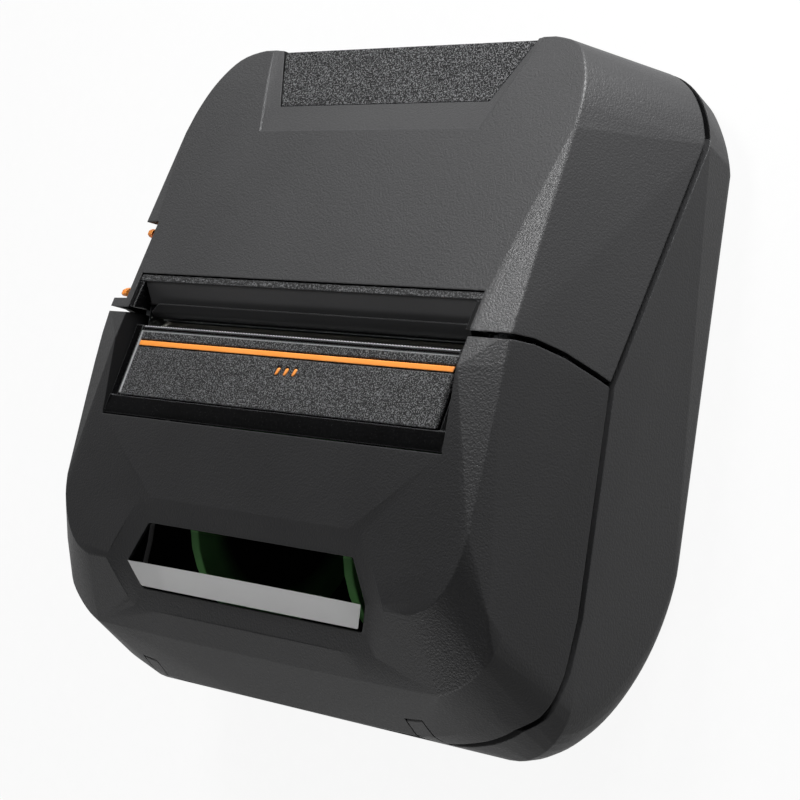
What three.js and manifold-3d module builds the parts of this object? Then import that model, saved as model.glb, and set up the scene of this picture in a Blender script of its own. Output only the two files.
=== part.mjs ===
// Mobile label printer with a clamshell roll cover, modelled in millimetres.
// It lies on its back: +X across the paper, +Y towards the control panel, +Z out of the front.
// The origin is the middle of its back face.
import * as THREE from 'three';
import { ConvexGeometry } from 'three/addons/geometries/ConvexGeometry.js';
import { mergeVertices } from 'three/addons/utils/BufferGeometryUtils.js';
import Module from 'manifold-3d';

const wasm = await Module();
wasm.setup();

// Driving dimensions
const paper = { width: 118, sideGap: 1.6 };
const body = { side: 16.9, length: 159, height: 68, wall: 2.4, seam: 1.3 };
const fit = { touch: 0.3, running: 0.1, overrun: 2 };

const halfWidth = paper.width / 2 + paper.sideGap + body.side;
const halfLength = body.length / 2;

// Colours
const paint = {
  charcoal: { color: 0x2b2c2e, roughness: 0.6, metalness: 0 },
  grain: { color: 0x232426, roughness: 0.85, metalness: 0 },
  gloss: { color: 0x111112, roughness: 0.15, metalness: 0 },
  accent: { color: 0xf07c1e, roughness: 0.5, metalness: 0 },
  window: { color: 0x202224, roughness: 0.08, metalness: 0, transparent: true, opacity: 0.5 },
  green: { color: 0x3f6b3a, roughness: 0.5, metalness: 0 },
  rubber: { color: 0x18181a, roughness: 0.9, metalness: 0 },
  steel: { color: 0xb4b7ba, roughness: 0.3, metalness: 1 },
  aluminium: { color: 0xc3c6c9, roughness: 0.4, metalness: 1 },
  brass: { color: 0xc9a24a, roughness: 0.35, metalness: 1 },
  ceramic: { color: 0xd9d4c7, roughness: 0.4, metalness: 0 },
  board: { color: 0x1d5a34, roughness: 0.6, metalness: 0 },
  nylon: { color: 0xe8e6df, roughness: 0.5, metalness: 0 },
  lens: { color: 0xcfe8ff, roughness: 0.1, metalness: 0 },
};

// Solids and placing
const printer = new THREE.Group();

function solid(geometry) {
  geometry.deleteAttribute('normal');
  geometry.deleteAttribute('uv');
  const merged = mergeVertices(geometry, 1e-4);
  const mesh = new wasm.Mesh({
    numProp: 3,
    vertProperties: new Float32Array(merged.attributes.position.array),
    triVerts: new Uint32Array(merged.index.array),
  });
  return new wasm.Manifold(mesh);
}

function add(name, shape, finish) {
  const mesh = shape.getMesh();
  const geometry = new THREE.BufferGeometry();
  geometry.setAttribute('position', new THREE.BufferAttribute(new Float32Array(mesh.vertProperties), 3));
  geometry.setIndex(new THREE.BufferAttribute(new Uint32Array(mesh.triVerts), 1));
  geometry.computeVertexNormals();
  const node = new THREE.Mesh(geometry, new THREE.MeshStandardMaterial(paint[finish]));
  node.name = name;
  printer.add(node);
}

function box(x, y, z) {
  const geometry = new THREE.BoxGeometry(x[1] - x[0], y[1] - y[0], z[1] - z[0]);
  geometry.translate((x[0] + x[1]) / 2, (y[0] + y[1]) / 2, (z[0] + z[1]) / 2);
  return solid(geometry);
}

// A box that leaves the touching gap round a piece that sits in it
function grownBox(x, y, z) {
  return box(...[x, y, z].map(([low, high]) => [low - fit.touch, high + fit.touch]));
}

function outline(points) {
  return new THREE.Shape(points.map(([across, up]) => new THREE.Vector2(across, up)));
}

function extruded(shape, depth) {
  return new THREE.ExtrudeGeometry(shape, { depth, bevelEnabled: false, curveSegments: 8 });
}

// An outline given as [y, z] points, extruded along X
function prismX(points, x) {
  const geometry = extruded(outline(points), x[1] - x[0]);
  geometry.rotateX(Math.PI / 2).rotateZ(Math.PI / 2).translate(x[0], 0, 0);
  return solid(geometry);
}

// An outline given as [x, y] points, extruded along Z
function prismZ(points, z) {
  const geometry = extruded(outline(points), z[1] - z[0]);
  geometry.translate(0, 0, z[0]);
  return solid(geometry);
}

// A round bar along X, Y or Z; place gives its two other coordinates in X, Y, Z order
function bar(axis, radius, span, place, sides = 16) {
  const geometry = new THREE.CylinderGeometry(radius, radius, span[1] - span[0], sides);
  const middle = (span[0] + span[1]) / 2;
  if (axis === 'x') geometry.rotateZ(Math.PI / 2).translate(middle, place[0], place[1]);
  if (axis === 'y') geometry.translate(place[0], middle, place[1]);
  if (axis === 'z') geometry.rotateX(Math.PI / 2).translate(place[0], place[1], middle);
  return solid(geometry);
}

// Both values on one side of the middle plane, in rising order
function onSide(side, near, far) {
  return side > 0 ? [near, far] : [-far, -near];
}

function across(half) {
  return [-half, half];
}

function from(start, length) {
  return [start, start + length];
}

function round(middle, half) {
  return [middle - half, middle + half];
}

function ring(axis, outer, inner, span, place, sides = 16) {
  const bore = [span[0] - fit.overrun, span[1] + fit.overrun];
  return bar(axis, outer, span, place, sides).subtract(bar(axis, inner, bore, place, sides));
}

function hull(points) {
  return solid(new ConvexGeometry(points.map(([x, y, z]) => new THREE.Vector3(x, y, z))));
}

function both(points) {
  return [...points, ...points.map(([x, y, z]) => [-x, y, z])];
}

// Each face of a convex solid moved inwards by a distance, by way of the polar dual
function inset(points, distance) {
  const centre = new THREE.Vector3(0, 0, body.height / 2);
  const geometry = new ConvexGeometry(points.map(([x, y, z]) => new THREE.Vector3(x, y, z).sub(centre)));
  const faces = facesOf(geometry);
  const corners = faces.map(({ normal, offset }) => normal.multiplyScalar(1 / (offset - distance)));
  const dual = facesOf(new ConvexGeometry(corners));
  return dual.map(({ normal, offset }) => normal.multiplyScalar(1 / offset).add(centre).toArray());
}

function facesOf(geometry) {
  const at = geometry.attributes.position;
  const faces = [];
  for (let corner = 0; corner < at.count; corner += 3) {
    const [a, b, c] = [0, 1, 2].map((step) => new THREE.Vector3().fromBufferAttribute(at, corner + step));
    const normal = b.clone().sub(a).cross(c.clone().sub(a));
    if (normal.lengthSq() < Number.EPSILON) continue;
    normal.normalize();
    faces.push({ normal, offset: normal.dot(a) });
  }
  return faces;
}

// The upper front is a plane through these two lines across the printer, as shares of half length and height
const frontHighShare = [0.248, 0.897];
const frontLowShare = [0.732, 0.709];

function frontZ(y) {
  const [highY, lowY] = [frontHighShare[0] * halfLength, frontLowShare[0] * halfLength];
  const [highZ, lowZ] = [frontHighShare[1] * body.height, frontLowShare[1] * body.height];
  return highZ + ((y - highY) * (lowZ - highZ)) / (lowY - highY);
}

// Outer form of the closed printer, as shares of half width, half length and height
const topEndShare = 0.992;
const formShares = [
  // back face and the rounded edge up to the sides
  [0.935, -0.41, 0], [0.935, 0.66, 0], [0.9, 0.76, 0], [0.83, 0.86, 0], [0.68, 0.93, 0],
  [0.965, -0.41, 0.015], [0.965, 0.7, 0.015], [0.925, 0.81, 0.015], [0.85, 0.91, 0.015], [0.7, 0.965, 0.015],
  [0.981, -0.41, 0.055], [0.981, 0.74, 0.06], [0.94, 0.86, 0.06], [0.87, 0.94, 0.06], [0.735, 0.985, 0.06],
  // widest line, along the seam
  [1, 0.755, 0.2], [0.978, 0.843, 0.19], [0.923, 0.925, 0.185], [0.84, 0.975, 0.183], [0.735, 0.992, 0.183],
  [1, 0.044, 0.512], [1, -0.6, 0.507], [0.998, -0.74, 0.53],
  // top end, up to the rim of the front
  [0.871, 0.792, 0.685], [0.841, 0.9, 0.644], [0.761, 0.968, 0.613], [0.652, 0.992, 0.604],
  // rim along the side of the front
  [0.874, 0.73, 0.706], [0.901, 0.415, 0.8], [0.916, 0.138, 0.904], [0.925, -0.05, 0.932],
  [0.919, -0.34, 0.972], [0.925, -0.415, 0.979],
  // flat middle panel inside the rim
  [0.88, ...frontLowShare], [0.791, ...frontHighShare], [0.785, 0.03, 0.976], [0.783, -0.21, 0.984],
  // lower corners of the front
  [0.911, -0.478, 0.985], [0.877, -0.558, 0.985], [0.818, -0.621, 0.985], [0.735, -0.653, 0.985],
  [0, -0.648, 1],
  // second crease, round the foot end
  [0.974, -0.156, 0.557], [0.974, -0.392, 0.672], [0.974, -0.522, 0.731], [0.97, -0.616, 0.897],
  [0.983, -0.667, 0.835], [0.964, -0.74, 0.853], [0.886, -0.814, 0.853], [0.787, -0.859, 0.853],
  [0, -0.866, 0.853],
  // foot end
  [0.985, -0.83, 0.6], [0.915, -0.885, 0.68], [0.818, -0.94, 0.68], [0.7, -0.975, 0.68], [0.58, -0.995, 0.68],
  [0, -0.995, 0.72],
];

// The back curls up to the foot end on an ellipse, and its edge to the sides gets rounder on the way
const heelShares = { y: -0.4088, reach: 0.6126, height: 0.4853, sideBack: 0.9806 };
const heel = {
  y: heelShares.y * halfLength, reach: heelShares.reach * halfLength, height: heelShares.height * body.height,
  sideBack: heelShares.sideBack * halfWidth, steps: 7, edge: 3.5, footEdge: 16,
};
const edgeTurns = [0, 35, 65, 90];

function heelPoints() {
  const points = [];
  for (let step = 1; step <= heel.steps; step += 1) {
    const turn = (step / heel.steps) * (Math.PI / 2);
    const edge = heel.edge + (heel.footEdge - heel.edge) * Math.sin(turn) ** 1.5;
    const side = heel.sideBack + (halfWidth - heel.sideBack) * (1 - Math.cos(turn));
    const out = new THREE.Vector2(-Math.sin(turn) / heel.reach, -Math.cos(turn) / heel.height).normalize();
    for (const around of edgeTurns.map(THREE.MathUtils.degToRad)) {
      const drop = edge * (1 - Math.cos(around));
      points.push([
        side - edge * (1 - Math.sin(around)),
        heel.y - heel.reach * Math.sin(turn) - out.x * drop,
        heel.height * (1 - Math.cos(turn)) - out.y * drop,
      ]);
    }
  }
  return points;
}

function formPoints() {
  const corners = formShares.map(([x, y, z]) => [x * halfWidth, y * halfLength, z * body.height]);
  return both([...corners, ...heelPoints()]);
}

const form = formPoints();
const outside = hull(form);
const shell = outside.subtract(hull(inset(form, body.wall)));
const topY = topEndShare * halfLength;
const beyond = across(2 * halfWidth);
const above = 2 * body.height;

// A place on the length and the height, given in shares of half length and height
function placed([y, z]) {
  return { y: y * halfLength, z: z * body.height };
}

function shifted(line, by, up) {
  return line.map(([y, z]) => [y + by, z + up]);
}

// Line between the rear casing and the front housings
const seamShares = [
  [1.1, 0.183], [0.79, 0.204], [0.044, 0.512], [-0.6, 0.507], [-0.752, 0.528], [-0.88, 0.576], [-0.923, 0.608],
  [-1.1, 0.608],
];
const seamLine = seamShares.map(([y, z]) => [y * halfLength, z * body.height]);
const endY = seamLine[0][0];
const seamLow = shifted(seamLine, 0, -body.seam / 2);
const seamHigh = shifted(seamLine, 0, body.seam / 2);
const rearSpace = prismX([...seamLow, [-endY, -body.height], [endY, -body.height]], beyond);
const frontSpace = prismX([...seamHigh, [-endY, above], [endY, above]], beyond);

// Line between the upper cover and the roll cover
const splitShares = [
  [0.035, 0.3], [0.038, 0.497], [0.065, 0.575], [0.103, 0.7], [0.125, 0.819], [0.127, 0.897], [0.121, 0.978],
  [0.115, 2],
];
const splitLine = splitShares.map(([y, z]) => [y * halfLength, z * body.height]);
const splitY = splitLine[4][0];
const upperSpace = prismX([...shifted(splitLine, body.seam / 2, 0), [endY, above], [endY, 0]], beyond);
const coverSpace = prismX([...shifted(splitLine, -body.seam / 2, 0), [-endY, above], [-endY, 0]], beyond);

// Paper slot
const slotEndShares = [-0.211, 0.2465];
const slotY = slotEndShares.map((share) => share * halfLength);
const slot = { half: paper.width / 2 + paper.sideGap, cheek: 1.4, cheekDepth: 4.2, cutDepth: 16 };
const lipPlace = placed([0.152, 0.8515]);
const lip = { thick: 1.5, back: 2.1 };
const tear = { depth: 2.4, height: 3, rise: 1.7, inset: 3.9, pitch: 3, notch: 0.8 };
const tearY = [lipPlace.y - fit.touch - tear.depth, lipPlace.y - fit.touch];
const tearTop = lipPlace.z + tear.rise;

// Peel plate on the roll cover, with its frame, stripe and marks
const plateFoot = placed([-0.1447, 0.969]);
const plateHead = placed([0.0742, 0.9]);
const plate = {
  inset: 4.2, thick: 1.2, frameThick: 1.1, frameRim: 1.2, frameReach: 0.7, cheekGap: 1.2, cheekDrop: 0.5,
};
const plateHalf = slot.half - plate.inset;
const stripe = { drop: 3.3, width: 1.3, height: 0.4, inset: 0.6 };
const stripeY = [plateHead.y - stripe.drop - stripe.width, plateHead.y - stripe.drop];
const mark = { x: 2, count: 3, pitch: 3, drop: 7.1, length: 1.8, width: 0.9, lean: 0.5 };
const markY = [plateHead.y - mark.drop - mark.length, plateHead.y - mark.drop];

// Battery bay in the back
const batteryShares = { start: 0.063, end: 0.8806, half: 0.5806, height: 0.3235 };
const battery = { wall: 1.6, gap: 0.4 };
const batteryY = [batteryShares.start * halfLength, batteryShares.end * halfLength];
const batteryHalf = batteryShares.half * halfWidth;
const batteryTop = batteryShares.height * body.height;
const bayHalf = batteryHalf + battery.gap;
const bayY = [batteryY[0] - battery.gap, batteryY[1] + battery.gap];
const bayTop = batteryTop + battery.gap + battery.wall;
const contacts = { x: 20, width: 16, length: 4, setIn: 4 };
const latch = { width: 16, length: 2.4, thick: 1.6, travel: 1.5, tongue: 0.7 };
const contactsX = from(contacts.x, contacts.width);
const contactsY = from(bayY[0] + contacts.setIn, contacts.length);
const latchY = from(bayY[1] + battery.wall - latch.tongue, latch.length);

// Boards above the battery bay
const board = { sideReach: 4.6, length: 23, thick: 1.6, endGap: 7, post: 2.5, postHeight: 1.6, postInset: 5 };
const boardZ = from(bayTop + board.postHeight + fit.touch, board.thick);
const boardHalf = bayHalf + board.sideReach;
const boardY = [topY - board.endGap - board.length, topY - board.endGap];
const radio = { x: 20, width: 20, length: 14, inset: 4, thick: 2.1 };
const antenna = { x: -44, width: 30, gap: 3.7, length: 22, track: 3, thick: 0.6, depth: 3 };

// Platen and the frame that holds the head, motor and gears
const platenPlace = placed([0.0126, 0.735]);
const platen = { radius: 6, sideGap: 3, shaft: 2, bush: 3, ear: 1.8, earHalf: 4, earFoot: 2 };
const frame = { thick: 1.5, setBack: 1, endGap: 3.9, prong: 2.5, prongRise: 3, under: 5 };
const frameX = from(slot.half + fit.touch, frame.thick);
const frameY = [batteryY[0] + frame.setBack, boardY[0] - frame.endGap];
const frameTop = frontZ(slotY[1]) - slot.cheekDepth - fit.touch;
const frameFloor = from(bayTop + fit.touch, frame.thick);
const platenHalf = slot.half - platen.sideGap;

// Gears on the left of the frame: platen, idler and motor pinion
const gear = {
  module: 0.8, width: 3, gap: 0.5, platenTeeth: 20, idlerTeeth: 28, pinionTeeth: 14, pin: 1.5, pressure: 20,
  idlerTurn: -33.5, pinionTurn: -9.9,
};
const toothShares = { tip: 0.95, root: 1.2, thickness: 0.93 };
const gearX = [-frameX[1] - gear.gap - gear.width, -frameX[1] - gear.gap];
const idlerTurn = THREE.MathUtils.degToRad(gear.idlerTurn);
const pinionTurn = THREE.MathUtils.degToRad(gear.pinionTurn);

function meshed(place, teeth, turn) {
  const reach = (gear.module * teeth) / 2;
  return { y: place.y + reach * Math.cos(turn), z: place.z + reach * Math.sin(turn) };
}

const idlerPlace = meshed(platenPlace, gear.platenTeeth + gear.idlerTeeth, idlerTurn);
const motorPlace = meshed(idlerPlace, gear.idlerTeeth + gear.pinionTeeth, pinionTurn);
const motor = { floorGap: 1.7, length: 20, shaft: 1 };
const motorRadius = motorPlace.z - frameFloor[1] - motor.floorGap;
const earX = [-gearX[0] + gear.gap, -gearX[0] + gear.gap + platen.ear];

// Print head, its heat sink and springs, and the beam behind them
const head = { thick: 1, height: 8, inset: 1.6, sinkThick: 3.7, sinkHeight: 12.5, sinkRise: 4.5 };
const headY = from(platenPlace.y + platen.radius + fit.touch, head.thick);
const sinkY = from(headY[1] + fit.touch, head.sinkThick);
const sinkZ = [platenPlace.z + head.sinkRise - head.sinkHeight, platenPlace.z + head.sinkRise];

// Lock of the roll cover: a shaft with two hooks and an arm
const lock = {
  radius: 2, hub: 3.6, hook: 1.7, arm: 2.5, clear: 1.7, nose: 5, tip: 2.6,
};
const lockPlace = placed([0.1824, 0.4924]);
const hookX = [frameX[0] - 2 * fit.touch - lock.hook, frameX[0] - 2 * fit.touch];
const armX = [hookX[0] - 2 * fit.touch - lock.arm, hookX[0] - 2 * fit.touch];
const beam = { thick: 1.8, rise: 4, sideGap: 1.5 };
const beamY = from(lockPlace.y + lock.radius + lock.clear, beam.thick);
const beamHalf = armX[0] - beam.sideGap;
const headSpring = { x: 34, drop: 2, outer: 3, inner: 2 };
const lockSpring = { gap: 3.5, length: 6, outer: 3, inner: 2.3 };

// Release lever in its pocket at the left edge
const pocketShares = [0.162, 0.4214];
const pocketY = pocketShares.map((share) => share * halfLength);
const pocket = { wall: 1.3, depth: 11, mouth: 4.6, slant: 9.2 };
const pocketX = gearX[0] - fit.touch - pocket.wall;
const pocketFloor = frontZ(pocketY[1]) - pocket.depth;
const lever = {
  thick: 3, travel: 3, back: 0.8, endGap: 1.1, dip: 1.6, dropLow: 2.6, dropHigh: 3.4, foot: 1.5, stem: 2.5,
  stemAhead: 7, stemRise: 0.5, wedge: 3.6,
};
const leverX = from(pocketX - lever.travel - lever.back - lever.thick, lever.thick);
const leverY = [pocketY[0] + lever.endGap, pocketY[1] - lever.endGap];
const stemY = from(idlerPlace.y + lever.stemAhead, lever.stem);
const stemZ = from(platenPlace.z + lever.stemRise, lever.stem);
const stemTip = -armX[1] + 1.4 * fit.touch;

// Hinge of the roll cover at the foot end
const hingePlace = placed([-0.937, 0.6765]);
const hinge = { barrel: 4.4, shaft: 1.25, width: 89.4, ear: 5, gap: 0.5, legHeight: 14, web: 3, webHeight: 8 };
const hingeHalf = hinge.width / 2;
const hingeEar = from(hingeHalf + fit.touch, hinge.ear);
const hingeBore = across(hingeEar[1] + fit.touch);
const hingeSweep = hinge.barrel + hinge.gap;

// Sockets behind the port flap on the left, on an upright board
const portPlace = placed([-0.239, 0.265]);
const port = {
  length: 22, height: 12, flap: 1.6, hingeGap: 1.3, depth: 8, back: 0.5, board: 1.2, rib: 1, boardTop: 3,
};
const dataSocket = { shift: -2.5, width: 9, height: 3.2, wall: 0.5 };
const powerSocket = { shift: 7, width: 5.2, height: 5.2, wall: 1.2 };
const portY = round(portPlace.y, port.length / 2);
const portZ = round(portPlace.z, port.height / 2);
const socketX = from(-halfWidth + body.wall + port.back, port.depth - fit.touch);
const socketBoardX = from(socketX[1] + fit.touch, port.board);

// Roll guides, their racks and the tray over them
const rollPlace = placed([-0.4528, 0.4853]);
const guideRadiusShare = 0.397;
const guideRadius = guideRadiusShare * body.height;
const roll = { guideThick: 3, inner: 26, rackReach: 39.7 };
const rack = {
  ahead: 11, thick: 1.5, width: 4, pinion: 5, gap: 0.4, pin: 1.5, tray: 1.2, trayDepth: 24, slotStart: 5,
  end: 3,
};
const guideX = from(roll.inner, roll.guideThick);
const rackMiddle = rollPlace.y + rack.ahead;
const rackZ = from(body.wall + fit.touch, rack.thick);
const trayZ = from(rackZ[1] + fit.touch, rack.tray);
const trayHalf = -socketBoardX[1] - port.rib - 3 * fit.touch;
const trayY = round(rackMiddle, rack.trayDepth / 2);
const sensor = { width: 12, depth: 3.3, height: 6, rise: 18 };
const lidSwitch = { width: 3, length: 6, height: 8, ahead: 8, drop: 9 };

// Screws that join the rear casing to the upper cover
const screwShares = [[0.8516, 0.7296], [0.8516, 0.3774]];
const screw = { head: 2.6, headHeight: 2.1, shank: 1.2, seat: 4, boss: 2.8, split: 17, top: 24, sink: 1, gearGap: 0.8 };
const screwInner = screw.boss + screw.gearGap - gearX[0];
const screwPlaces = screwShares
  .map(([x, y], index) => [index === 0 ? x * halfWidth : screwInner, y * halfLength])
  .flatMap(([x, y]) => [[x, y], [-x, y]]);

// Window in the roll cover, along its edge lines on the right half
const paneShares = [[0.476, -0.5157], [0.5626, -0.6453], [0.5148, -0.7346]];
const bezelShares = [[0.516, -0.449], [0.645, -0.649], [0.5626, -0.79]];
const pane = { thick: 1.2, depth: 0.8 };

// Textured grip strip in its pocket at the top end
const grip = {
  length: 13.46, footHalf: 36.7, topHalf: 43.3, bevel: 6.9, mouthHalf: 37.8, mouthTop: 48, drop: 1.5, thick: 1,
  backing: 2, end: 0.2,
};
const gripFoot = topY - grip.length;

// Control panel on the top end
const panel = {
  half: 50, rise: 1.3, depth: 1.3, proud: 0.3, button: 4, hole: 4.3, lift: 0.3, press: 0.3,
};
const panelTopShare = 0.515;
const panelZ = [seamHigh[0][1] + panel.rise, panelTopShare * body.height];
const panelY = [topY - panel.depth + fit.touch, topY + panel.proud];
const panelRow = (panelZ[0] + panelZ[1]) / 2;
const lamp = { radius: 1.6 };
const buttonPlaces = { power_button: -34, feed_button: 0, wireless_button: 34 };
const lampPlaces = { status_lens_left: -17, status_lens_right: 17 };

// Outline on the XY plane from shares on its right half, grown sideways
function mirrored(shares, growth) {
  const right = shares.map(([x, y]) => [x * halfWidth + growth, y * halfLength]);
  return [...right, ...[...right].reverse().map(([x, y]) => [-x, y])];
}

// A sheet that follows the outer form between two depths under it
function skin(top, bottom) {
  const upper = top === 0 ? outside : hull(inset(form, top));
  return upper.subtract(hull(inset(form, bottom)));
}

// Involute gear wheel along X with a tooth at the given turn
function gearWheel(teeth, turn, centre, bore) {
  const pitch = (gear.module * teeth) / 2;
  const tip = pitch + toothShares.tip * gear.module;
  const root = pitch - toothShares.root * gear.module;
  const base = pitch * Math.cos(THREE.MathUtils.degToRad(gear.pressure));
  const involute = (radius) => {
    const angle = Math.acos(Math.min(1, base / radius));
    return Math.tan(angle) - angle;
  };
  const halfTooth = (Math.PI / 2 / teeth) * toothShares.thickness + involute(pitch);
  const flank = [root, Math.max(base, root), (base + tip) / 2, tip].map((radius) => (
    [radius, halfTooth - involute(Math.max(radius, base))]
  ));
  const points = [];
  for (let tooth = 0; tooth < teeth; tooth += 1) {
    const middle = turn + (tooth / teeth) * Math.PI * 2;
    flank.forEach(([radius, half]) => points.push([radius, middle - half]));
    [...flank].reverse().forEach(([radius, half]) => points.push([radius, middle + half]));
  }
  const rim = points.map(([radius, angle]) => [
    centre.y + radius * Math.cos(angle), centre.z + radius * Math.sin(angle),
  ]);
  return prismX(rim, gearX).subtract(barX(bore, beyond, centre));
}

function barX(radius, span, place, sides = 16) {
  return bar('x', radius, span, [place.y, place.z], sides);
}

// Rear casing: back shell with the battery bay, hinge ears, board posts and screw seats
function rearCasing() {
  const heelCut = box(beyond, [-endY, hingePlace.y], [hingePlace.z - hingeSweep, above]);
  const hingeCut = barX(hingeSweep, beyond, hingePlace, 24);
  let casing = shell.intersect(rearSpace).subtract(hingeCut).subtract(heelCut);
  const bayOuterY = [bayY[0] - battery.wall, bayY[1] + battery.wall];
  casing = casing.add(box(across(bayHalf + battery.wall), bayOuterY, [body.wall / 2, bayTop]));
  for (const side of [-1, 1]) {
    const x = onSide(side, ...hingeEar);
    const leg = box(x, [-endY, hingePlace.y + hinge.barrel], from(hingePlace.z - hinge.legHeight, hinge.legHeight));
    casing = casing.add(barX(hinge.barrel, x, hingePlace).add(leg).intersect(outside));
    for (const y of [boardY[0] + board.postInset, boardY[1] - board.postInset]) {
      const x0 = side * (boardHalf - board.postInset);
      casing = casing.add(bar('z', board.post, [bayTop - battery.wall / 2, bayTop + board.postHeight], [x0, y]));
    }
  }
  const rib = [socketBoardX[0] - port.rib, socketBoardX[1] + port.rib];
  casing = casing.add(box(rib, portY, [body.wall / 2, trayZ[1]]));
  casing = casing.add(bar('z', rack.pin, [body.wall / 2, rackZ[1]], [0, rackMiddle]));
  for (const place of screwPlaces) {
    const seat = bar('z', screw.seat, [body.wall / 2, screw.split], place).intersect(outside);
    const shank = bar('z', screw.shank + fit.touch, [-fit.overrun, screw.split + fit.overrun], place);
    const sink = bar('z', screw.head + fit.touch, [-fit.overrun, screw.sink + screw.headHeight + fit.touch], place);
    casing = casing.add(seat).subtract(shank).subtract(sink);
  }
  const hollow = box(across(bayHalf), bayY, [-fit.overrun, batteryTop + battery.gap]);
  const contactsHole = grownBox(contactsX, contactsY, [batteryTop, bayTop + fit.overrun]);
  const latchRun = [bayY[1] - fit.touch, latchY[1] + latch.travel + fit.touch];
  const latchHole = box(across(latch.width / 2 + fit.touch), latchRun, [-fit.overrun, latch.thick + fit.touch]);
  const bore = barX(hinge.shaft + fit.running, hingeBore, hingePlace);
  const flapWindow = box([-2 * halfWidth, socketBoardX[0]], portY, [portZ[0] - port.hingeGap, portZ[1]]);
  return casing.subtract(hollow).subtract(contactsHole).subtract(latchHole).subtract(bore).subtract(flapWindow);
}

// Upper cover: front housing above the paper slot
function upperCover() {
  const slotCut = box(across(slot.half), [-endY, slotY[1]], [frontZ(slotY[1]) - slot.cutDepth, above]);
  let cover = shell.intersect(frontSpace).intersect(upperSpace).subtract(slotCut);
  cover = cover.add(prismX([
    [slotY[1], frontZ(slotY[1])], [slotY[1], frontZ(slotY[1]) - lip.back], [lipPlace.y, lipPlace.z - lip.thick],
    [lipPlace.y, lipPlace.z], [slotY[1] - fit.touch, frontZ(slotY[1]) - fit.touch],
  ], across(slot.half)));
  for (const side of [-1, 1]) cover = cover.add(slotCheek(side, [splitY, slotY[1] + slot.cheek], upperSpace));
  cover = cover.add(gripBacking());
  for (const place of screwPlaces) {
    cover = cover.add(bar('z', screw.boss, [screw.split + fit.touch, above], place).intersect(outside));
  }
  const wall = box(
    [-2 * halfWidth, pocketX + pocket.wall], [pocketY[0] - pocket.wall, pocketY[1] + pocket.wall],
    [pocketFloor - pocket.wall, above],
  );
  cover = cover.add(wall.intersect(outside)).subtract(leverPocket()).subtract(gripPocket());
  for (const place of screwPlaces) {
    cover = cover.subtract(bar('z', screw.shank + fit.running, [screw.split, screw.top + fit.touch], place));
  }
  const panelX = across(panel.half + fit.touch);
  const panelPocket = box(panelX, [topY - panel.depth, endY], [panelZ[0] - fit.touch, panelZ[1] + fit.touch]);
  return cover.subtract(stemHole([pocketX, pocketX + pocket.wall])).subtract(panelPocket);
}

// Side wall of the paper slot, at the top of a cover
function slotCheek(side, y, space) {
  const foot = frontZ(slotY[1]) - slot.cheekDepth;
  const wall = box(onSide(side, slot.half, slot.half + slot.cheek), y, [foot, above]);
  return wall.intersect(outside).intersect(space);
}

function leverPocket() {
  const well = box([-2 * halfWidth, pocketX], pocketY, [pocketFloor, above]);
  const slant = pocketY.flatMap((y) => [
    [pocketX, y, frontZ(y) - pocket.slant], [pocketX + pocket.mouth, y, frontZ(y) + fit.touch],
    [-2 * halfWidth, y, frontZ(y) - pocket.slant], [-2 * halfWidth, y, above],
  ]);
  return well.add(hull(slant));
}

function stemHole(x) {
  return grownBox([x[0] - fit.overrun, x[1] + fit.overrun], stemY, stemZ);
}

// Half width of the grip strip's floor at a place along its length
function gripHalf(y) {
  return grip.footHalf + ((grip.topHalf - grip.footHalf) * (y - gripFoot)) / grip.length;
}

function gripLayer(corners, depths) {
  return hull(both(corners.flatMap(([x, y]) => depths.map((depth) => [x, y, frontZ(y) - depth]))));
}

function gripBacking() {
  const corners = [[grip.footHalf + grip.backing, gripFoot - grip.backing], [gripHalf(endY) + grip.backing, endY]];
  return gripLayer(corners, [body.wall / 2, grip.drop + grip.thick + body.wall]).intersect(outside);
}

function gripPocket() {
  const depth = grip.drop + grip.thick + fit.touch;
  const mouth = [[grip.mouthHalf, gripFoot - grip.bevel], [grip.mouthTop, endY]];
  const floor = [[grip.footHalf, gripFoot], [gripHalf(endY), endY]];
  return hull(both([
    ...mouth.map(([x, y]) => [x, y, frontZ(y) + fit.touch]), ...floor.map(([x, y]) => [x, y, frontZ(y) - depth]),
  ]));
}

function gripStrip() {
  const start = gripFoot + fit.touch;
  const end = topY - grip.end;
  const corners = [[gripHalf(start) - fit.touch, start], [gripHalf(end) - fit.touch, end]];
  return gripLayer(corners, [grip.drop, grip.drop + grip.thick]);
}

// Roll cover: clamshell front with its hinge barrel, platen ears and window opening
function rollCover() {
  const slotCut = box(across(slot.half), [slotY[0], endY], [frontZ(slotY[1]) - slot.cutDepth, above]);
  let cover = shell.intersect(frontSpace).intersect(coverSpace).subtract(slotCut);
  for (const side of [-1, 1]) {
    cover = cover.add(slotCheek(side, [slotY[0] - slot.cheek, splitY], coverSpace));
    cover = cover.add(platenEar(onSide(side, ...earX)));
    const notch = onSide(side, hingeHalf, hingeEar[1] + fit.touch);
    cover = cover.subtract(box(notch, [-endY, hingePlace.y + hingeSweep], [0, hingePlace.z + hingeSweep]));
  }
  const barrelX = across(hingeHalf);
  const room = box(barrelX, [-endY, hingePlace.y + hinge.barrel], [0, hingePlace.z]);
  const web = box(barrelX, round(hingePlace.y, hinge.web / 2), from(hingePlace.z, hinge.webHeight));
  const barrel = barX(hinge.barrel, barrelX, hingePlace, 20).add(web).intersect(outside);
  cover = cover.subtract(room).add(barrel).subtract(barX(hinge.shaft + fit.running, hingeBore, hingePlace));
  const tall = [body.height / 2, above];
  const bezel = prismZ(mirrored(bezelShares, 0), tall).intersect(skin(0, pane.depth));
  const opening = prismZ(mirrored(paneShares, fit.touch), tall);
  const shaftBore = barX(platen.shaft + fit.running, across(earX[1] + fit.touch), platenPlace);
  return cover.subtract(bezel).subtract(opening).subtract(shaftBore);
}

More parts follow.
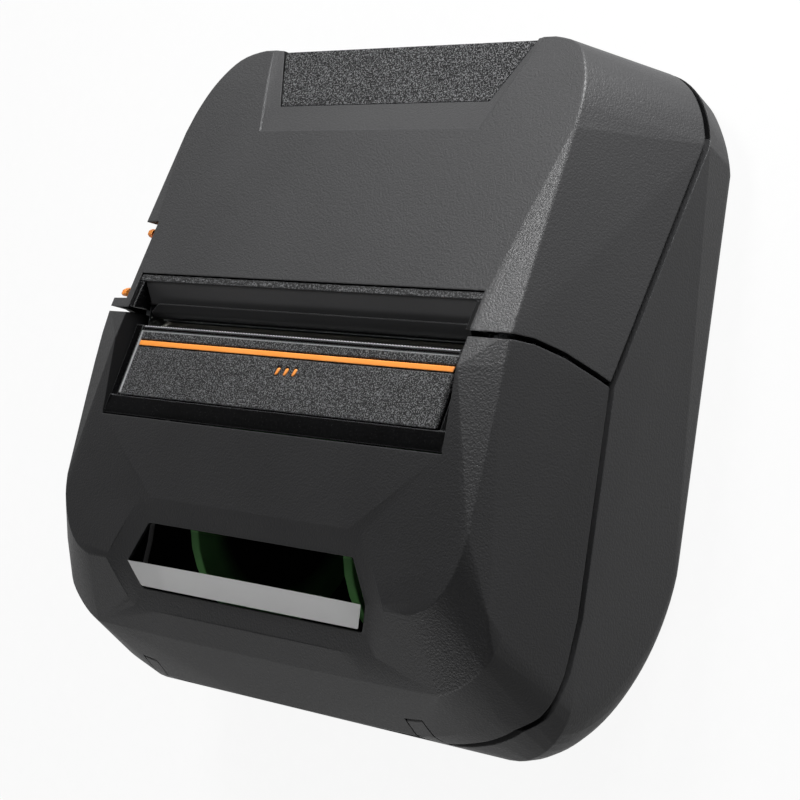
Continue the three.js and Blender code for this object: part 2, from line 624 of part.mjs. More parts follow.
// Ear that hangs from the cover's front wall and carries the platen shaft
function platenEar(x) {
  const foot = platenPlace.z - platen.shaft - platen.earFoot;
  const half = platen.earHalf;
  return prismX([
    [platenPlace.y - half, foot + half / 2], [platenPlace.y - half / 2, foot], [platenPlace.y + half / 2, foot],
    [platenPlace.y + half, foot + half / 2], [platenPlace.y + half, above], [platenPlace.y - half, above],
  ], x).intersect(outside);
}

function coverWindow() {
  const outlineOfPane = prismZ(mirrored(paneShares, 0), [body.height / 2, above]);
  return outlineOfPane.intersect(skin(pane.depth, pane.depth + pane.thick));
}

// Height of the peel plate's upper face at a place along the slot
function plateZ(y) {
  return plateFoot.z + ((y - plateFoot.y) * (plateHead.z - plateFoot.z)) / (plateHead.y - plateFoot.y);
}

function plateSlab(y, depths, x) {
  return prismX([
    [y[0], plateZ(y[0]) - depths[0]], [y[0], plateZ(y[0]) - depths[1]], [y[1], plateZ(y[1]) - depths[1]],
    [y[1], plateZ(y[1]) - depths[0]],
  ], x);
}

// Glossy frame round the peel plate: a floor, a rim at the foot and two cheeks
function plateFrame() {
  const under = plate.thick + fit.touch;
  const half = slot.half - fit.touch;
  const y = [slotY[0] + fit.touch, plateHead.y + plate.frameReach];
  let tray = plateSlab(y, [under, under + plate.frameThick], across(half));
  const rim = plateSlab(
    [y[0], plateFoot.y - fit.touch], [under - plate.frameRim, under + plate.frameThick], across(half),
  );
  tray = tray.add(rim);
  for (const side of [-1, 1]) {
    const x = onSide(side, plateHalf + plate.cheekGap, half);
    tray = tray.add(plateSlab(y, [plate.cheekDrop, under + plate.frameThick / 2], x));
  }
  return tray.intersect(hull(inset(form, fit.touch)));
}

function peelPlate() {
  const grooveY = [stripeY[0] - fit.touch, stripeY[1] + fit.touch];
  const groove = plateSlab(
    grooveY, [-fit.overrun, stripe.height + fit.touch], across(plateHalf - stripe.inset + fit.touch),
  );
  const slab = plateSlab([plateFoot.y, plateHead.y], [0, plate.thick], across(plateHalf)).subtract(groove);
  return markPlaces().reduce((rest, x) => rest.subtract(accentMark(x, fit.touch)), slab);
}

function markPlaces() {
  return Array.from({ length: mark.count }, (_, index) => mark.x + (index - (mark.count - 1) / 2) * mark.pitch);
}

// Slanted mark below the stripe; growth makes the pocket that it sits in
function accentMark(x, growth) {
  const half = mark.width / 2 + growth;
  const [low, high] = [markY[0] - growth, markY[1] + growth];
  const leaning = prismZ([
    [x - half - mark.lean / 2, low], [x + half - mark.lean / 2, low], [x + half + mark.lean / 2, high],
    [x - half + mark.lean / 2, high],
  ], [0, above]);
  return leaning.intersect(plateSlab([low, high], [-growth * above, stripe.height + growth], across(plateHalf)));
}

// Tear bar with a sawtooth edge
function tearBar() {
  const half = slot.half - tear.inset;
  const count = Math.round((2 * half) / tear.pitch);
  const points = [[-half, tearY[1]], [-half, tearY[0]]];
  for (let tooth = 0; tooth < count; tooth += 1) {
    points.push([-half + ((tooth + 0.5) / count) * 2 * half, tearY[0] + tear.notch]);
    points.push([-half + ((tooth + 1) / count) * 2 * half, tearY[0]]);
  }
  points.push([half, tearY[1]]);
  return prismZ(points, [tearTop - tear.height, tearTop]);
}

// Chassis: two side plates on a floor, the beam behind the head and the idler's pin
function chassis() {
  const half = platen.bush + fit.touch + frame.prong;
  const plateOutline = [
    [frameY[0], frameFloor[0]], [frameY[1], frameFloor[0]], [frameY[1], frontZ(frameY[1]) - frame.under],
    [beamY[0], frameTop], [platenPlace.y + half, frameTop],
    [platenPlace.y, frameTop - half], [platenPlace.y, platenPlace.z + frame.prongRise],
    [platenPlace.y - half, platenPlace.z + frame.prongRise], [platenPlace.y - half, platenPlace.z - half],
    [frameY[0], (frameFloor[0] + platenPlace.z) / 2],
  ];
  const notchY = round(platenPlace.y, platen.bush + fit.touch);
  const notch = barX(platen.bush + fit.touch, beyond, platenPlace).add(box(beyond, notchY, [platenPlace.z, above]));
  let plates = prismX(plateOutline, onSide(-1, ...frameX)).add(prismX(plateOutline, frameX));
  plates = plates.subtract(notch).subtract(barX(lock.radius + fit.running, beyond, lockPlace));
  const floor = box(across(frameX[1]), frameY, frameFloor);
  const wall = box(across(beamHalf), beamY, [frameFloor[0], platenPlace.z + beam.rise]);
  const pin = barX(gear.pin, [gearX[0], -frameX[0]], idlerPlace);
  const leftPlate = [-frameX[1] - fit.touch, -frameX[0] + fit.touch];
  const motorHole = barX(2 * motor.shaft, leftPlate, motorPlace);
  return plates.add(floor).add(wall).add(pin).subtract(motorHole).subtract(stemHole([-frameX[1], -frameX[0]]));
}

function stepperMotor() {
  const can = barX(motorRadius, from(-frameX[0] + fit.touch, motor.length), motorPlace, 20);
  return can.add(barX(motor.shaft, [gearX[0], -frameX[0] + 2 * fit.touch], motorPlace));
}

function lockShaft() {
  let shaft = barX(lock.radius, [-frameX[1] + fit.touch, frameX[1] + fit.overrun], lockPlace);
  const bush = platen.bush;
  const { y, z } = platenPlace;
  for (const side of [-1, 1]) {
    const x = onSide(side, ...hookX);
    const hook = prismX([
      [lockPlace.y - bush, lockPlace.z - fit.touch], [lockPlace.y + bush, lockPlace.z + fit.touch],
      [y + lock.hub + lock.nose, z], [y + lock.nose, z + lock.nose - fit.touch], [y + bush, z + lock.nose],
      [y + fit.touch, z + lock.nose], [y + fit.touch, z], [y + bush + fit.touch, z],
    ], x).subtract(barX(bush + 1.5 * fit.touch, beyond, platenPlace));
    shaft = shaft.add(hook).add(barX(lock.hub, x, lockPlace));
  }
  const tip = stemY[0] + 3 * fit.touch;
  const arm = prismX([
    [lockPlace.y - lock.radius / 2, lockPlace.z + lock.radius / 2],
    [lockPlace.y + lock.radius / 2, lockPlace.z - lock.radius / 2], [tip + lock.tip, stemZ[0]],
    [tip + lock.tip, stemZ[1]], [tip, stemZ[1]], [tip, stemZ[0]],
  ], onSide(-1, ...armX));
  return shaft.add(arm).add(barX(lock.hub, onSide(-1, ...armX), lockPlace));
}

// Release lever: a blade with a hollow face, and the stem that pushes the lock's arm
function releaseLever() {
  const [low, high] = leverY;
  const [outer, inner] = leverX;
  const blade = new THREE.Shape();
  blade.moveTo(inner, low);
  blade.lineTo(inner, high);
  blade.lineTo(outer, high);
  blade.quadraticCurveTo(outer + 2 * lever.dip, (low + high) / 2, outer, low);
  const geometry = extruded(blade, body.height);
  geometry.translate(0, 0, pocketFloor + lever.foot);
  const room = prismX([
    [low, 0], [high, 0], [high, frontZ(high) - lever.dropHigh], [low, frontZ(low) - lever.dropLow],
  ], [outer, inner]);
  const root = inner - lever.thick / 4;
  const stem = prismZ([
    [root, stemY[0]], [stemTip, stemY[0]], [stemTip - lever.wedge, stemY[1]], [root, stemY[1]],
  ], stemZ);
  return solid(geometry).intersect(room).add(stem);
}

// Place of a guide's rack along the length
function rackY(side) {
  return rackMiddle + side * (rack.pinion + rack.width / 2 + rack.gap);
}

function rollGuide(side) {
  const x = onSide(side, ...guideX);
  const rackSpan = round(rackY(side), rack.width / 2);
  const belowTray = box(beyond, [-endY, endY], [-body.height, trayZ[1] + fit.touch]);
  const disc = barX(guideRadius, x, rollPlace, 32).subtract(belowTray);
  const foot = box(x, rackSpan, [rackZ[0], rollPlace.z / 2]);
  const run = side > 0 ? [-roll.rackReach, guideX[1]] : [-guideX[1], roll.rackReach];
  return disc.add(foot).add(box(run, rackSpan, rackZ));
}

function guideTray() {
  let tray = box(across(trayHalf), trayY, trayZ);
  for (const side of [-1, 1]) {
    const run = onSide(side, guideX[0] - rack.slotStart, trayHalf - rack.end);
    tray = tray.subtract(box(run, round(rackY(side), rack.width / 2 + fit.touch), [0, rollPlace.z]));
  }
  return tray;
}

function controlPanel() {
  const through = [panelY[0] - fit.overrun, panelY[1] + fit.overrun];
  let sheet = box(across(panel.half), panelY, panelZ);
  for (const x of Object.values(buttonPlaces)) {
    sheet = sheet.subtract(bar('y', panel.hole, through, [x, panelRow]));
  }
  for (const x of Object.values(lampPlaces)) {
    sheet = sheet.subtract(bar('y', lamp.radius + fit.touch, through, [x, panelRow]));
  }
  return sheet;
}

// A socket with an open mouth on its outer side
function socket({ shift, width, height, wall }) {
  const middle = portPlace.y + shift;
  const mouth = [socketX[0] - fit.overrun, socketX[1] - port.depth / 3];
  const block = box(socketX, round(middle, width / 2), round(portPlace.z, height / 2));
  return block.subtract(box(mouth, round(middle, width / 2 - wall), round(portPlace.z, height / 2 - wall)));
}

function antennaLoop() {
  const end = gripFoot - grip.backing - antenna.gap;
  const y = [end - antenna.length, end];
  const slab = (x, span, depths) => prismX([
    [span[0], frontZ(span[0]) - depths[0]], [span[1], frontZ(span[1]) - depths[0]],
    [span[1], frontZ(span[1]) - depths[1]], [span[0], frontZ(span[0]) - depths[1]],
  ], x);
  const hole = slab(
    from(antenna.x + antenna.track, antenna.width - 2 * antenna.track), [y[0] + antenna.track, y[1] - antenna.track],
    [0, body.height / 2],
  );
  return slab(from(antenna.x, antenna.width), y, from(antenna.depth, antenna.thick)).subtract(hole);
}

// Casing
add('rear_casing', rearCasing(), 'charcoal');
add('upper_cover', upperCover(), 'charcoal');
add('grip_strip', gripStrip(), 'grain');
add('tear_bar', tearBar(), 'steel');
add('hinge_shaft', barX(hinge.shaft, across(hingeEar[1]), hingePlace), 'steel');
screwPlaces.forEach((place, index) => {
  const cap = bar('z', screw.head, from(screw.sink, screw.headHeight), place);
  add(`case_screw_${index + 1}`, cap.add(bar('z', screw.shank, [screw.sink, screw.top], place)), 'steel');
});

// Roll cover and what it carries
add('roll_cover', rollCover(), 'charcoal');
add('cover_window', coverWindow(), 'window');
add('plate_frame', plateFrame(), 'gloss');
add('peel_plate', peelPlate(), 'grain');
add('accent_stripe', plateSlab(stripeY, [0, stripe.height], across(plateHalf - stripe.inset)), 'accent');
markPlaces().forEach((x, index) => add(`accent_mark_${index + 1}`, accentMark(x, 0), 'accent'));

// Platen with its bushes and gear, and the gears that drive it
add('platen_shaft', barX(platen.shaft, across(earX[1]), platenPlace), 'steel');
const rollerPlace = [platenPlace.y, platenPlace.z];
const shaftBore = platen.shaft + fit.running;
add('platen_roller', ring('x', platen.radius, shaftBore, across(platenHalf), rollerPlace, 28), 'rubber');
const bushX = [platenHalf + 2 * fit.touch, frameX[1] + fit.touch];
add('platen_bush_right', ring('x', platen.bush, shaftBore, bushX, rollerPlace), 'brass');
add('platen_bush_left', ring('x', platen.bush, shaftBore, onSide(-1, ...bushX), rollerPlace), 'brass');
const idlerPhase = idlerTurn + Math.PI + Math.PI / gear.idlerTeeth;
const idlerStep = (2 * Math.PI) / gear.idlerTeeth;
const idlerLead = idlerPhase - pinionTurn - Math.round((idlerPhase - pinionTurn) / idlerStep) * idlerStep;
const pinionPhase = pinionTurn + Math.PI + Math.PI / gear.pinionTeeth
  - (idlerLead * gear.idlerTeeth) / gear.pinionTeeth;
add('platen_gear', gearWheel(gear.platenTeeth, idlerTurn, platenPlace, shaftBore), 'nylon');
add('idler_gear', gearWheel(gear.idlerTeeth, idlerPhase, idlerPlace, gear.pin + fit.running), 'nylon');
add('motor_pinion', gearWheel(gear.pinionTeeth, pinionPhase, motorPlace, motor.shaft + fit.running), 'brass');

// Print mechanism
const headHalf = platenHalf - head.inset;
const headZ = round(platenPlace.z, head.height / 2);
const springY = [sinkY[1] + fit.touch, beamY[0] - fit.touch];
const springZ = platenPlace.z - headSpring.drop;
add('chassis', chassis(), 'steel');
add('stepper_motor', stepperMotor(), 'steel');
add('print_head', box(across(headHalf), headY, headZ), 'ceramic');
add('heat_sink', box(across(platenHalf), sinkY, sinkZ), 'aluminium');
for (const [name, x] of [['head_spring_left', -headSpring.x], ['head_spring_right', headSpring.x]]) {
  add(name, ring('y', headSpring.outer, headSpring.inner, springY, [x, springZ]), 'steel');
}

const lidSwitchX = from(frameX[1] + fit.touch, lidSwitch.width);
const lidSwitchY = from(platenPlace.y + lidSwitch.ahead, lidSwitch.length);
const lidSwitchZ = from(platenPlace.z - lidSwitch.drop, lidSwitch.height);
add('lid_switch', box(lidSwitchX, lidSwitchY, lidSwitchZ), 'gloss');

// Lock and its lever
const lockSpringX = from(lockSpring.gap - armX[0], lockSpring.length);
add('lock_shaft', lockShaft(), 'nylon');
const lockSpringPlace = [lockPlace.y, lockPlace.z];
add('lock_spring', ring('x', lockSpring.outer, lockSpring.inner, lockSpringX, lockSpringPlace), 'steel');
add('release_lever', releaseLever(), 'accent');

// Roll guides
const sensorEnd = bayY[0] - battery.wall - fit.touch;
add('guide_tray', guideTray(), 'gloss');
add('right_guide', rollGuide(1), 'green');
add('left_guide', rollGuide(-1), 'green');
add('guide_pinion', ring('z', rack.pinion, rack.pin + fit.running, rackZ, [0, rackMiddle], 20), 'nylon');
const sensorY = [sensorEnd - sensor.depth, sensorEnd];
add('media_sensor', box(across(sensor.width / 2), sensorY, from(sensor.rise, sensor.height)), 'gloss');

// Battery, its contacts and its latch
add('battery_pack', box(across(batteryHalf), batteryY, [0, batteryTop]), 'gloss');
add('battery_contacts', box(contactsX, contactsY, [batteryTop + fit.touch, bayTop]), 'brass');
add('battery_latch', box(across(latch.width / 2), latchY, [0, latch.thick]), 'grain');

// Boards, sockets and their flap
const radioX = from(radio.x, radio.width);
const radioY = from(boardY[0] + radio.inset, radio.length);
add('main_board', box(across(boardHalf), boardY, boardZ), 'board');
add('wireless_board', box(radioX, radioY, from(boardZ[1] + fit.touch, radio.thick)), 'board');
add('antenna_loop', antennaLoop(), 'brass');
add('socket_board', box(socketBoardX, portY, [trayZ[1] + fit.touch, portZ[1] + port.boardTop]), 'board');
add('data_socket', socket(dataSocket), 'steel');
add('power_socket', socket(powerSocket), 'gloss');
const flapY = [portY[0] + fit.touch, portY[1] - fit.touch];
const flapRoom = box([-2 * halfWidth, 0], flapY, [portZ[0], portZ[1] - fit.touch]);
add('port_flap', skin(0, port.flap).intersect(flapRoom), 'rubber');

// Control panel with its buttons and lamps
const buttonY = [panelY[0] + panel.lift, panelY[1] + panel.press];
add('control_panel', controlPanel(), 'gloss');
for (const [name, x] of Object.entries(buttonPlaces)) {
  add(name, bar('y', panel.button, buttonY, [x, panelRow], 24), 'grain');
}
for (const [name, x] of Object.entries(lampPlaces)) {
  add(name, bar('y', lamp.radius, panelY, [x, panelRow]), 'lens');
}

// The origin is the middle of the closed printer's back, and the foot end bulges past the half length
printer.position.y = (heel.reach - heel.y - buttonY[1]) / 2;

export default printer;
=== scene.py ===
import math

import bmesh
import bpy
import numpy as np
from mathutils import Matrix, Vector
from mathutils.bvhtree import BVHTree


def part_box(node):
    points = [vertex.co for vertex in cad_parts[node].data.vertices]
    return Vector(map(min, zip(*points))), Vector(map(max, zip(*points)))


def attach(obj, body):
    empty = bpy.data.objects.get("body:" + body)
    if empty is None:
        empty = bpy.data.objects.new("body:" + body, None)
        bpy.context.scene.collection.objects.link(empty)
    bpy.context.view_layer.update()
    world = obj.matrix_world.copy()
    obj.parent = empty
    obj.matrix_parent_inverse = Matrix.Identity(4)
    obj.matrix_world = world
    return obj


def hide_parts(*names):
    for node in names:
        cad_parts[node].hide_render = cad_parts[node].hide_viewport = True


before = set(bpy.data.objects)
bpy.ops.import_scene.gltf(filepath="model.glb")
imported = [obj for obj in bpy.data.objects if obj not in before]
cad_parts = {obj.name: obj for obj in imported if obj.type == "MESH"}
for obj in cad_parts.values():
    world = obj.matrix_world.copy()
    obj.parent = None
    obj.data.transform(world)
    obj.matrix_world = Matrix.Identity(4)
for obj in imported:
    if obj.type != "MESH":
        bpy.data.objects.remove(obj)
bpy.context.view_layer.update()

# Sizes in millimetres, in the printer's own frame: x across it, y up its length, z off its flat back
HEIGHT = 68.0
SIZE = (77.5, 79.5, HEIGHT)  # half width, half length and height, which the form's shares multiply
WALL, INSIDE = 2.4, 1.2  # shell thickness, and the depth in the flat back where inner walls start
SEAM, SPLIT, TOUCH = 1.7, 1.3, 0.3  # gaps along the seam, between the covers, and round a seated part
OVER, BEYOND, ABOVE, END = 2.0, (-155, 155), 136, 87.45  # how far cutting tools reach past the form
TOP_END, PANEL_FACE = 78.864, 79.164  # flat top end, and the face of the control panel in it
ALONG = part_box("control_panel")[1].y * 1000 - PANEL_FACE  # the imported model's shift along its length

# Paper slot, the grained band along its upper edge, its lip, its side cheeks and the tear rail
SLOT_HALF, SLOT_LOW, SLOT_HIGH, SLOT_DEPTH = 60.6, -16.77, 19.60, 16.0
BAND_LOW, BAND_HIGH = SLOT_HIGH - 2.0, SLOT_HIGH - 0.35
LIP_EDGE = (12.08, 57.90)
CHEEK, CHEEK_DEPTH, CHEEK_END = 1.4, 4.2, 9.94
TEAR_HALF, TEAR_LOW, TEAR_HIGH, TEAR_TOP = 56.7, 9.38, 11.78, 59.6
# Peel plate's foot and head, its beads, and the platen's axis, each as y and z
PLATE_FOOT, PLATE_HEAD = (-11.50, 65.89), (5.90, 61.2)
BEAD_REACH, BEAD_SUNK = (-56.2, 56.2), 0.3
PLATEN, PLATEN_BORE = (1.00, 49.98), 2.1
# Hinge: axis, half length and radius of its barrel, the room it sweeps, its ears and its pin's bore
HINGE, HINGE_HALF, HINGE_RADIUS = (-74.49, 46.0), 44.7, 4.4
HINGE_SWEEP, EAR, PIN_BORE, PIN_REACH = HINGE_RADIUS + 0.5, 5, 1.35, (-50.3, 50.3)
# Battery bay in the back
BAY_HALF, BAY_LOW, BAY_HIGH, BAY_FLOOR, BAY_TOP, BAY_WALL = 45.4, 4.61, 70.41, 22.4, 24.0, 1.6
# Lever's recess in the left side, and the wall behind it
POCKET_LOW, POCKET_HIGH, POCKET_WALL, POCKET_FLOOR, POCKET_SKIN = 12.88, 33.5, -67.5, 45.4, 1.3
# Port opening in the left side, and the case screws with the height of their seats
PORT_ALONG, PORT_UP = (-30.0, -8.0), (10.72, 24.02)
SCREWS, SCREW_SEAT = [(66.0, 58.0), (-66.0, 58.0), (69.5, 30.0), (-69.5, 30.0)], 17
# Grip strip: its foot, its end beyond the top, half widths, depth under the front, and the gap round it
GRIP_FOOT, GRIP_END, GRIP_FOOT_HALF, GRIP_TOP_HALF, GRIP_DROP = 65.1, 80.6, 36.7, 43.3, 1.5
GRIP_GAP = 0.45
# Roll cover's window and the dish round it: upper corner, crease and lower corner of the right half
PANE = [(36.9, -41.0), (43.6, -51.3), (39.9, -58.4)]
BEZEL = [(40.0, -35.7), (50.0, -51.6), (43.6, -62.8)]
PANE_CORNER, PANE_GAP = 2.2, 0.5
# Points on a rounded corner, and sides of a round bar
CORNER_STEPS, ROUND_SIDES = 5, 48
# Seen from the side: the seam round the case, and the split between the two covers
SEAM_LINE = [
    (87.45, 12.44), (62.81, 13.87), (3.50, 34.82), (-47.7, 34.48), (-59.78, 35.90),
    (-69.96, 39.17), (-73.38, 41.34), (-87.45, 41.34),
]
SPLIT_LINE = [
    (2.78, 20.4), (3.02, 33.8), (5.17, 39.1), (8.19, 47.6), (9.94, 55.7), (10.10, 61.0),
    (9.62, 66.5), (9.14, 136),
]


def front_z(y):
    """Height of the flat upper front."""
    return 60.996 - 0.33224 * (y - 19.716)


def plate_z(y):
    """Height of the peel plate's face."""
    (foot, low), (head, high) = PLATE_FOOT, PLATE_HEAD
    return low + (y - foot) * (high - low) / (head - foot)


def below_front(*places):
    """Outline in side view, given by place along the printer and depth under the flat upper front."""
    return [(y, front_z(y) - depth) for y, depth in places]


# Outer form: smooth lines along the printer's creases, in shares of its size

ACROSS = (-1, 0, 0)  # direction in which a crease runs to the printer's middle


def scaled(points):
    """Places in millimetres from shares of the printer's size."""
    return [np.array(p) * SIZE for p in points]


def smooth_run(points, before, after, step=2.0):
    """Points of a smooth curve through a crease's corners, which leaves along the given directions."""
    run = scaled(points)
    lead, tail = np.array(before, float), np.array(after, float)
    lead *= np.linalg.norm(run[1] - run[0]) / np.linalg.norm(lead)
    tail *= np.linalg.norm(run[-1] - run[-2]) / np.linalg.norm(tail)
    run = [run[0] - lead, *run, run[-1] + tail]
    curve = []
    for a, b, c, d in zip(run, run[1:], run[2:], run[3:]):
        knots = [0.0]
        for near, far in ((a, b), (b, c), (c, d)):
            knots.append(knots[-1] + np.linalg.norm(far - near) ** 0.5)
        count = max(1, round(np.linalg.norm(c - b) / step))
        for share in np.arange(count) / count:
            t = knots[1] + (knots[2] - knots[1]) * share
            row = [a, b, c, d]
            for level in (1, 2):
                row = [
                    ((knots[i + level] - t) * row[i] + (t - knots[i]) * row[i + 1])
                    / (knots[i + level] - knots[i])
                    for i in range(len(row) - 1)
                ]
            curve.append(((knots[2] - t) * row[0] + (t - knots[1]) * row[1]) / (knots[2] - knots[1]))
    curve.append(run[-2])
    return curve


def crowned(edge, middle):
    """A shallow bow across the printer, from a line's middle to its edge."""
    edge, middle = np.array(edge), np.array(middle)
    shares = np.linspace(0, 1, 9)
    return scaled([middle + (edge - middle) * (s, s * s, s * s) for s in shares])


def back_edge():
    """Rounded edge between the flat back and the sides, round the top corners."""
    low = [(0.935, 0.66, 0), (0.9, 0.76, 0), (0.83, 0.86, 0), (0.68, 0.93, 0)]
    high = [(0.966, 0.735, 0.058), (0.912, 0.85, 0.058), (0.843, 0.926, 0.058), (0.72, 0.975, 0.058)]
    begin = scaled([(0.935, -0.41, 0), (0.981, -0.41, 0.058)])
    inner = [begin[0], *smooth_run(low, (0, 1, 0), ACROSS, 1.6)]
    outer = [begin[1], *smooth_run(high, (0, 1, 0), ACROSS, 1.6)]
    shares = np.linspace(0, 1, 40)

    def evenly(line):
        """A line's first point, then even steps along the rest of it."""
        rest = line[1:]
        reach = np.concatenate([[0], np.cumsum([np.linalg.norm(b - a) for a, b in zip(rest, rest[1:])])])
        return [line[0]] + [
            np.array([np.interp(s * reach[-1], reach, [p[k] for p in rest]) for k in range(3)])
            for s in shares
        ]

    points = []
    for near, far in zip(evenly(inner), evenly(outer)):
        for turn in np.radians((0, 22, 45, 68, 90)):
            flat = near + (far - near) * math.sin(turn)
            points.append(np.array([flat[0], flat[1], far[2] * (1 - math.cos(turn))]))
    return points


def heel():
    """The back curls up to the foot end on an ellipse, with an edge that gets rounder on the way."""
    begin, reach, rise = -32.5, 48.7, 33.0
    points = []
    for turn in np.linspace(0, math.pi / 2, 26)[1:]:
        edge = 3.5 + 12.5 * math.sin(turn) ** 1.5
        side = 76.0 + 1.5 * (1 - math.cos(turn))
        out = Vector((-math.sin(turn) / reach, -math.cos(turn) / rise)).normalized()
        for around in np.radians(range(0, 91, 10)):
            drop = edge * (1 - math.cos(around))
            points.append(np.array([
                side - edge * (1 - math.sin(around)),
                begin - reach * math.sin(turn) - out.x * drop,
                rise * (1 - math.cos(turn)) - out.y * drop,
            ]))
    return points


def form_points():
    """All creases of the closed printer's outer form."""
    half = [
        *back_edge(), *heel(),
        # widest line, along the seam
        *smooth_run([
            (1, 0.77, 0.2), (0.968, 0.852, 0.19), (0.917, 0.92, 0.185), (0.838, 0.97, 0.183),
            (0.735, 0.992, 0.183),
        ], (-0.3, 0.71, -0.1), ACROSS),
        *scaled([(1, 0.044, 0.512), (1, -0.6, 0.507), (0.998, -0.74, 0.53)]),
        # rim of the front, from the top end round both its corners
        *smooth_run([
            (0.652, 1.018, 0.594), (0.761, 0.987, 0.606), (0.833, 0.9, 0.646), (0.871, 0.792, 0.685),
            (0.874, 0.73, 0.706),
        ], (1, 0, 0), (0.027, -0.315, 0.08)),
        *smooth_run([
            (0.874, 0.73, 0.706), (0.901, 0.415, 0.8), (0.916, 0.138, 0.904), (0.925, -0.05, 0.932),
            (0.919, -0.34, 0.972), (0.925, -0.415, 0.979),
        ], (0.05, -0.6, 0.2), (0, -1, 0.1), 8),
        *smooth_run([
            (0.925, -0.415, 0.979), (0.911, -0.478, 0.985), (0.877, -0.558, 0.985), (0.818, -0.621, 0.985),
            (0.735, -0.653, 0.985),
        ], (0, -1, 0.05), ACROSS),
        *crowned((0.735, -0.653, 0.985), (0, -0.648, 1)),
        # flat middle panel inside the rim
        *scaled([(0.88, 0.732, 0.709), (0.791, 0.248, 0.897), (0.785, 0.03, 0.976), (0.783, -0.21, 0.984)]),
        # second crease, round the foot end
        *scaled([
            (0.974, -0.156, 0.557), (0.974, -0.392, 0.672), (0.974, -0.522, 0.731), (0.97, -0.616, 0.897),
        ]),
        *smooth_run([
            (0.983, -0.667, 0.835), (0.964, -0.74, 0.853), (0.886, -0.814, 0.853), (0.787, -0.859, 0.853),
        ], (0, -1, 0.2), ACROSS),
        *crowned((0.787, -0.859, 0.853), (0, -0.866, 0.853)),
        # third crease, along the foot end above the hinge
        *smooth_run([
            (0.985, -0.83, 0.6), (0.915, -0.885, 0.68), (0.818, -0.94, 0.68), (0.7, -0.975, 0.68),
            (0.58, -0.995, 0.68),
        ], (0, -1, 0), ACROSS),
        *crowned((0.58, -0.995, 0.68), (0, -0.995, 0.72)),
    ]
    return [Vector(p) for p in half] + [Vector((-p[0], p[1], p[2])) for p in half]


def hulled(points):
    """Convex mesh round the points, with its flat faces merged."""
    mesh = bmesh.new()
    for point in points:
        mesh.verts.new(point)
    found = bmesh.ops.convex_hull(mesh, input=mesh.verts, use_existing_faces=False)
    spare = {v for v in found["geom_interior"] + found["geom_unused"] if isinstance(v, bmesh.types.BMVert)}
    bmesh.ops.delete(mesh, geom=list(spare), context="VERTS")
    bmesh.ops.dissolve_limit(mesh, angle_limit=math.radians(0.25), verts=mesh.verts, edges=mesh.edges)
    bmesh.ops.recalc_face_normals(mesh, faces=mesh.faces)
    return mesh


def moved_in(mesh, depth):
    """Each corner of a convex mesh, moved so that its faces lie that deep under the old ones."""
    places = []
    for corner in mesh.verts:
        # Slivers under a thousandth of a square millimetre are passed over
        normals = np.array([f.normal for f in corner.link_faces if f.calc_area() > 0.001])
        inward = np.linalg.pinv(normals, rcond=0.1) @ np.full(len(normals), depth)
        places.append((corner, corner.co - Vector(inward)))
    return places


def eased(points, radius):
    """Convex form with every crease rounded: a small ball is wrapped round each moved corner."""
    mesh = hulled(points)
    around = []
    for corner, centre in moved_in(mesh, radius):
        for face in corner.link_faces:
            around.append(centre + face.normal * radius)
        for edge in corner.link_edges:
            one, other = (face.normal for face in edge.link_faces)
            if one.angle(other) > math.radians(4):
                for share in (0.25, 0.5, 0.75):
                    around.append(centre + one.slerp(other, share) * radius)
    mesh.free()
    return hulled(around)


def as_piece(mesh, name="part"):
    """Mesh data as an object in the scene."""
    data = bpy.data.meshes.new(name)
    mesh.to_mesh(data)
    mesh.free()
    piece = bpy.data.objects.new(name, data)
    bpy.context.scene.collection.objects.link(piece)
    return piece


FORM = form_points()
OUTSIDE = as_piece(eased(FORM, 0.7), "outside")
SKIN = BVHTree.FromPolygons(
    [v.co for v in OUTSIDE.data.vertices], [p.vertices for p in OUTSIDE.data.polygons],
)


def skin_z(x, y):
    """Height of the outer form above a place."""
    return SKIN.ray_cast(Vector((x, y, ABOVE)), Vector((0, 0, -1)))[0].z


def under(depth):
    """The convex form that lies that deep under the outer one."""
    mesh = hulled(FORM)
    places = [place for _, place in moved_in(mesh, depth)]
    mesh.free()
    return as_piece(hulled(places))


# Solids, all in millimetres

def prism(axis, points, span):
    """An outline pushed along an axis; its points give the two other coordinates."""
    mesh = bmesh.new()
    index = "xyz".index(axis)
    ends = []
    for at in span:
        corners = [list(p[:index]) + [at] + list(p[index:]) for p in points]
        ends.append([mesh.verts.new(c) for c in corners])
    mesh.faces.new(ends[0])
    mesh.faces.new(ends[1])
    for here in range(len(points)):
        mesh.faces.new((ends[0][here], ends[0][here - 1], ends[1][here - 1], ends[1][here]))
    bmesh.ops.recalc_face_normals(mesh, faces=mesh.faces)
    return as_piece(mesh)


def rectangle(across, up):
    """Corners of a rectangle between two places each way."""
    return [(across[0], up[0]), (across[1], up[0]), (across[1], up[1]), (across[0], up[1])]


def block(x, y, z):
    """A box between two places on each axis."""
    return prism("z", rectangle(x, y), z)


def bar(axis, radius, span, centre):
    """A round bar along an axis."""
    turns = np.arange(ROUND_SIDES) * 2 * math.pi / ROUND_SIDES
    outline = [(centre[0] + radius * math.cos(t), centre[1] + radius * math.sin(t)) for t in turns]
    return prism(axis, outline, span)


def wrapped(points):
    """The convex solid round some points."""
    return as_piece(hulled([Vector(p) for p in points]))


def both_sides(points):
    """Points, and the same points on the printer's other side."""
    return [*points, *((-x, y, z) for x, y, z in points)]


def mirrored(points):
    """Half an outline, closed by its mirror image."""
    return [*points, *((-x, y) for x, y in reversed(points))]


def on_side(side, near, far):
    """A span across the printer on its right, 1, or its left, -1."""
    return (near, far) if side > 0 else (-far, -near)


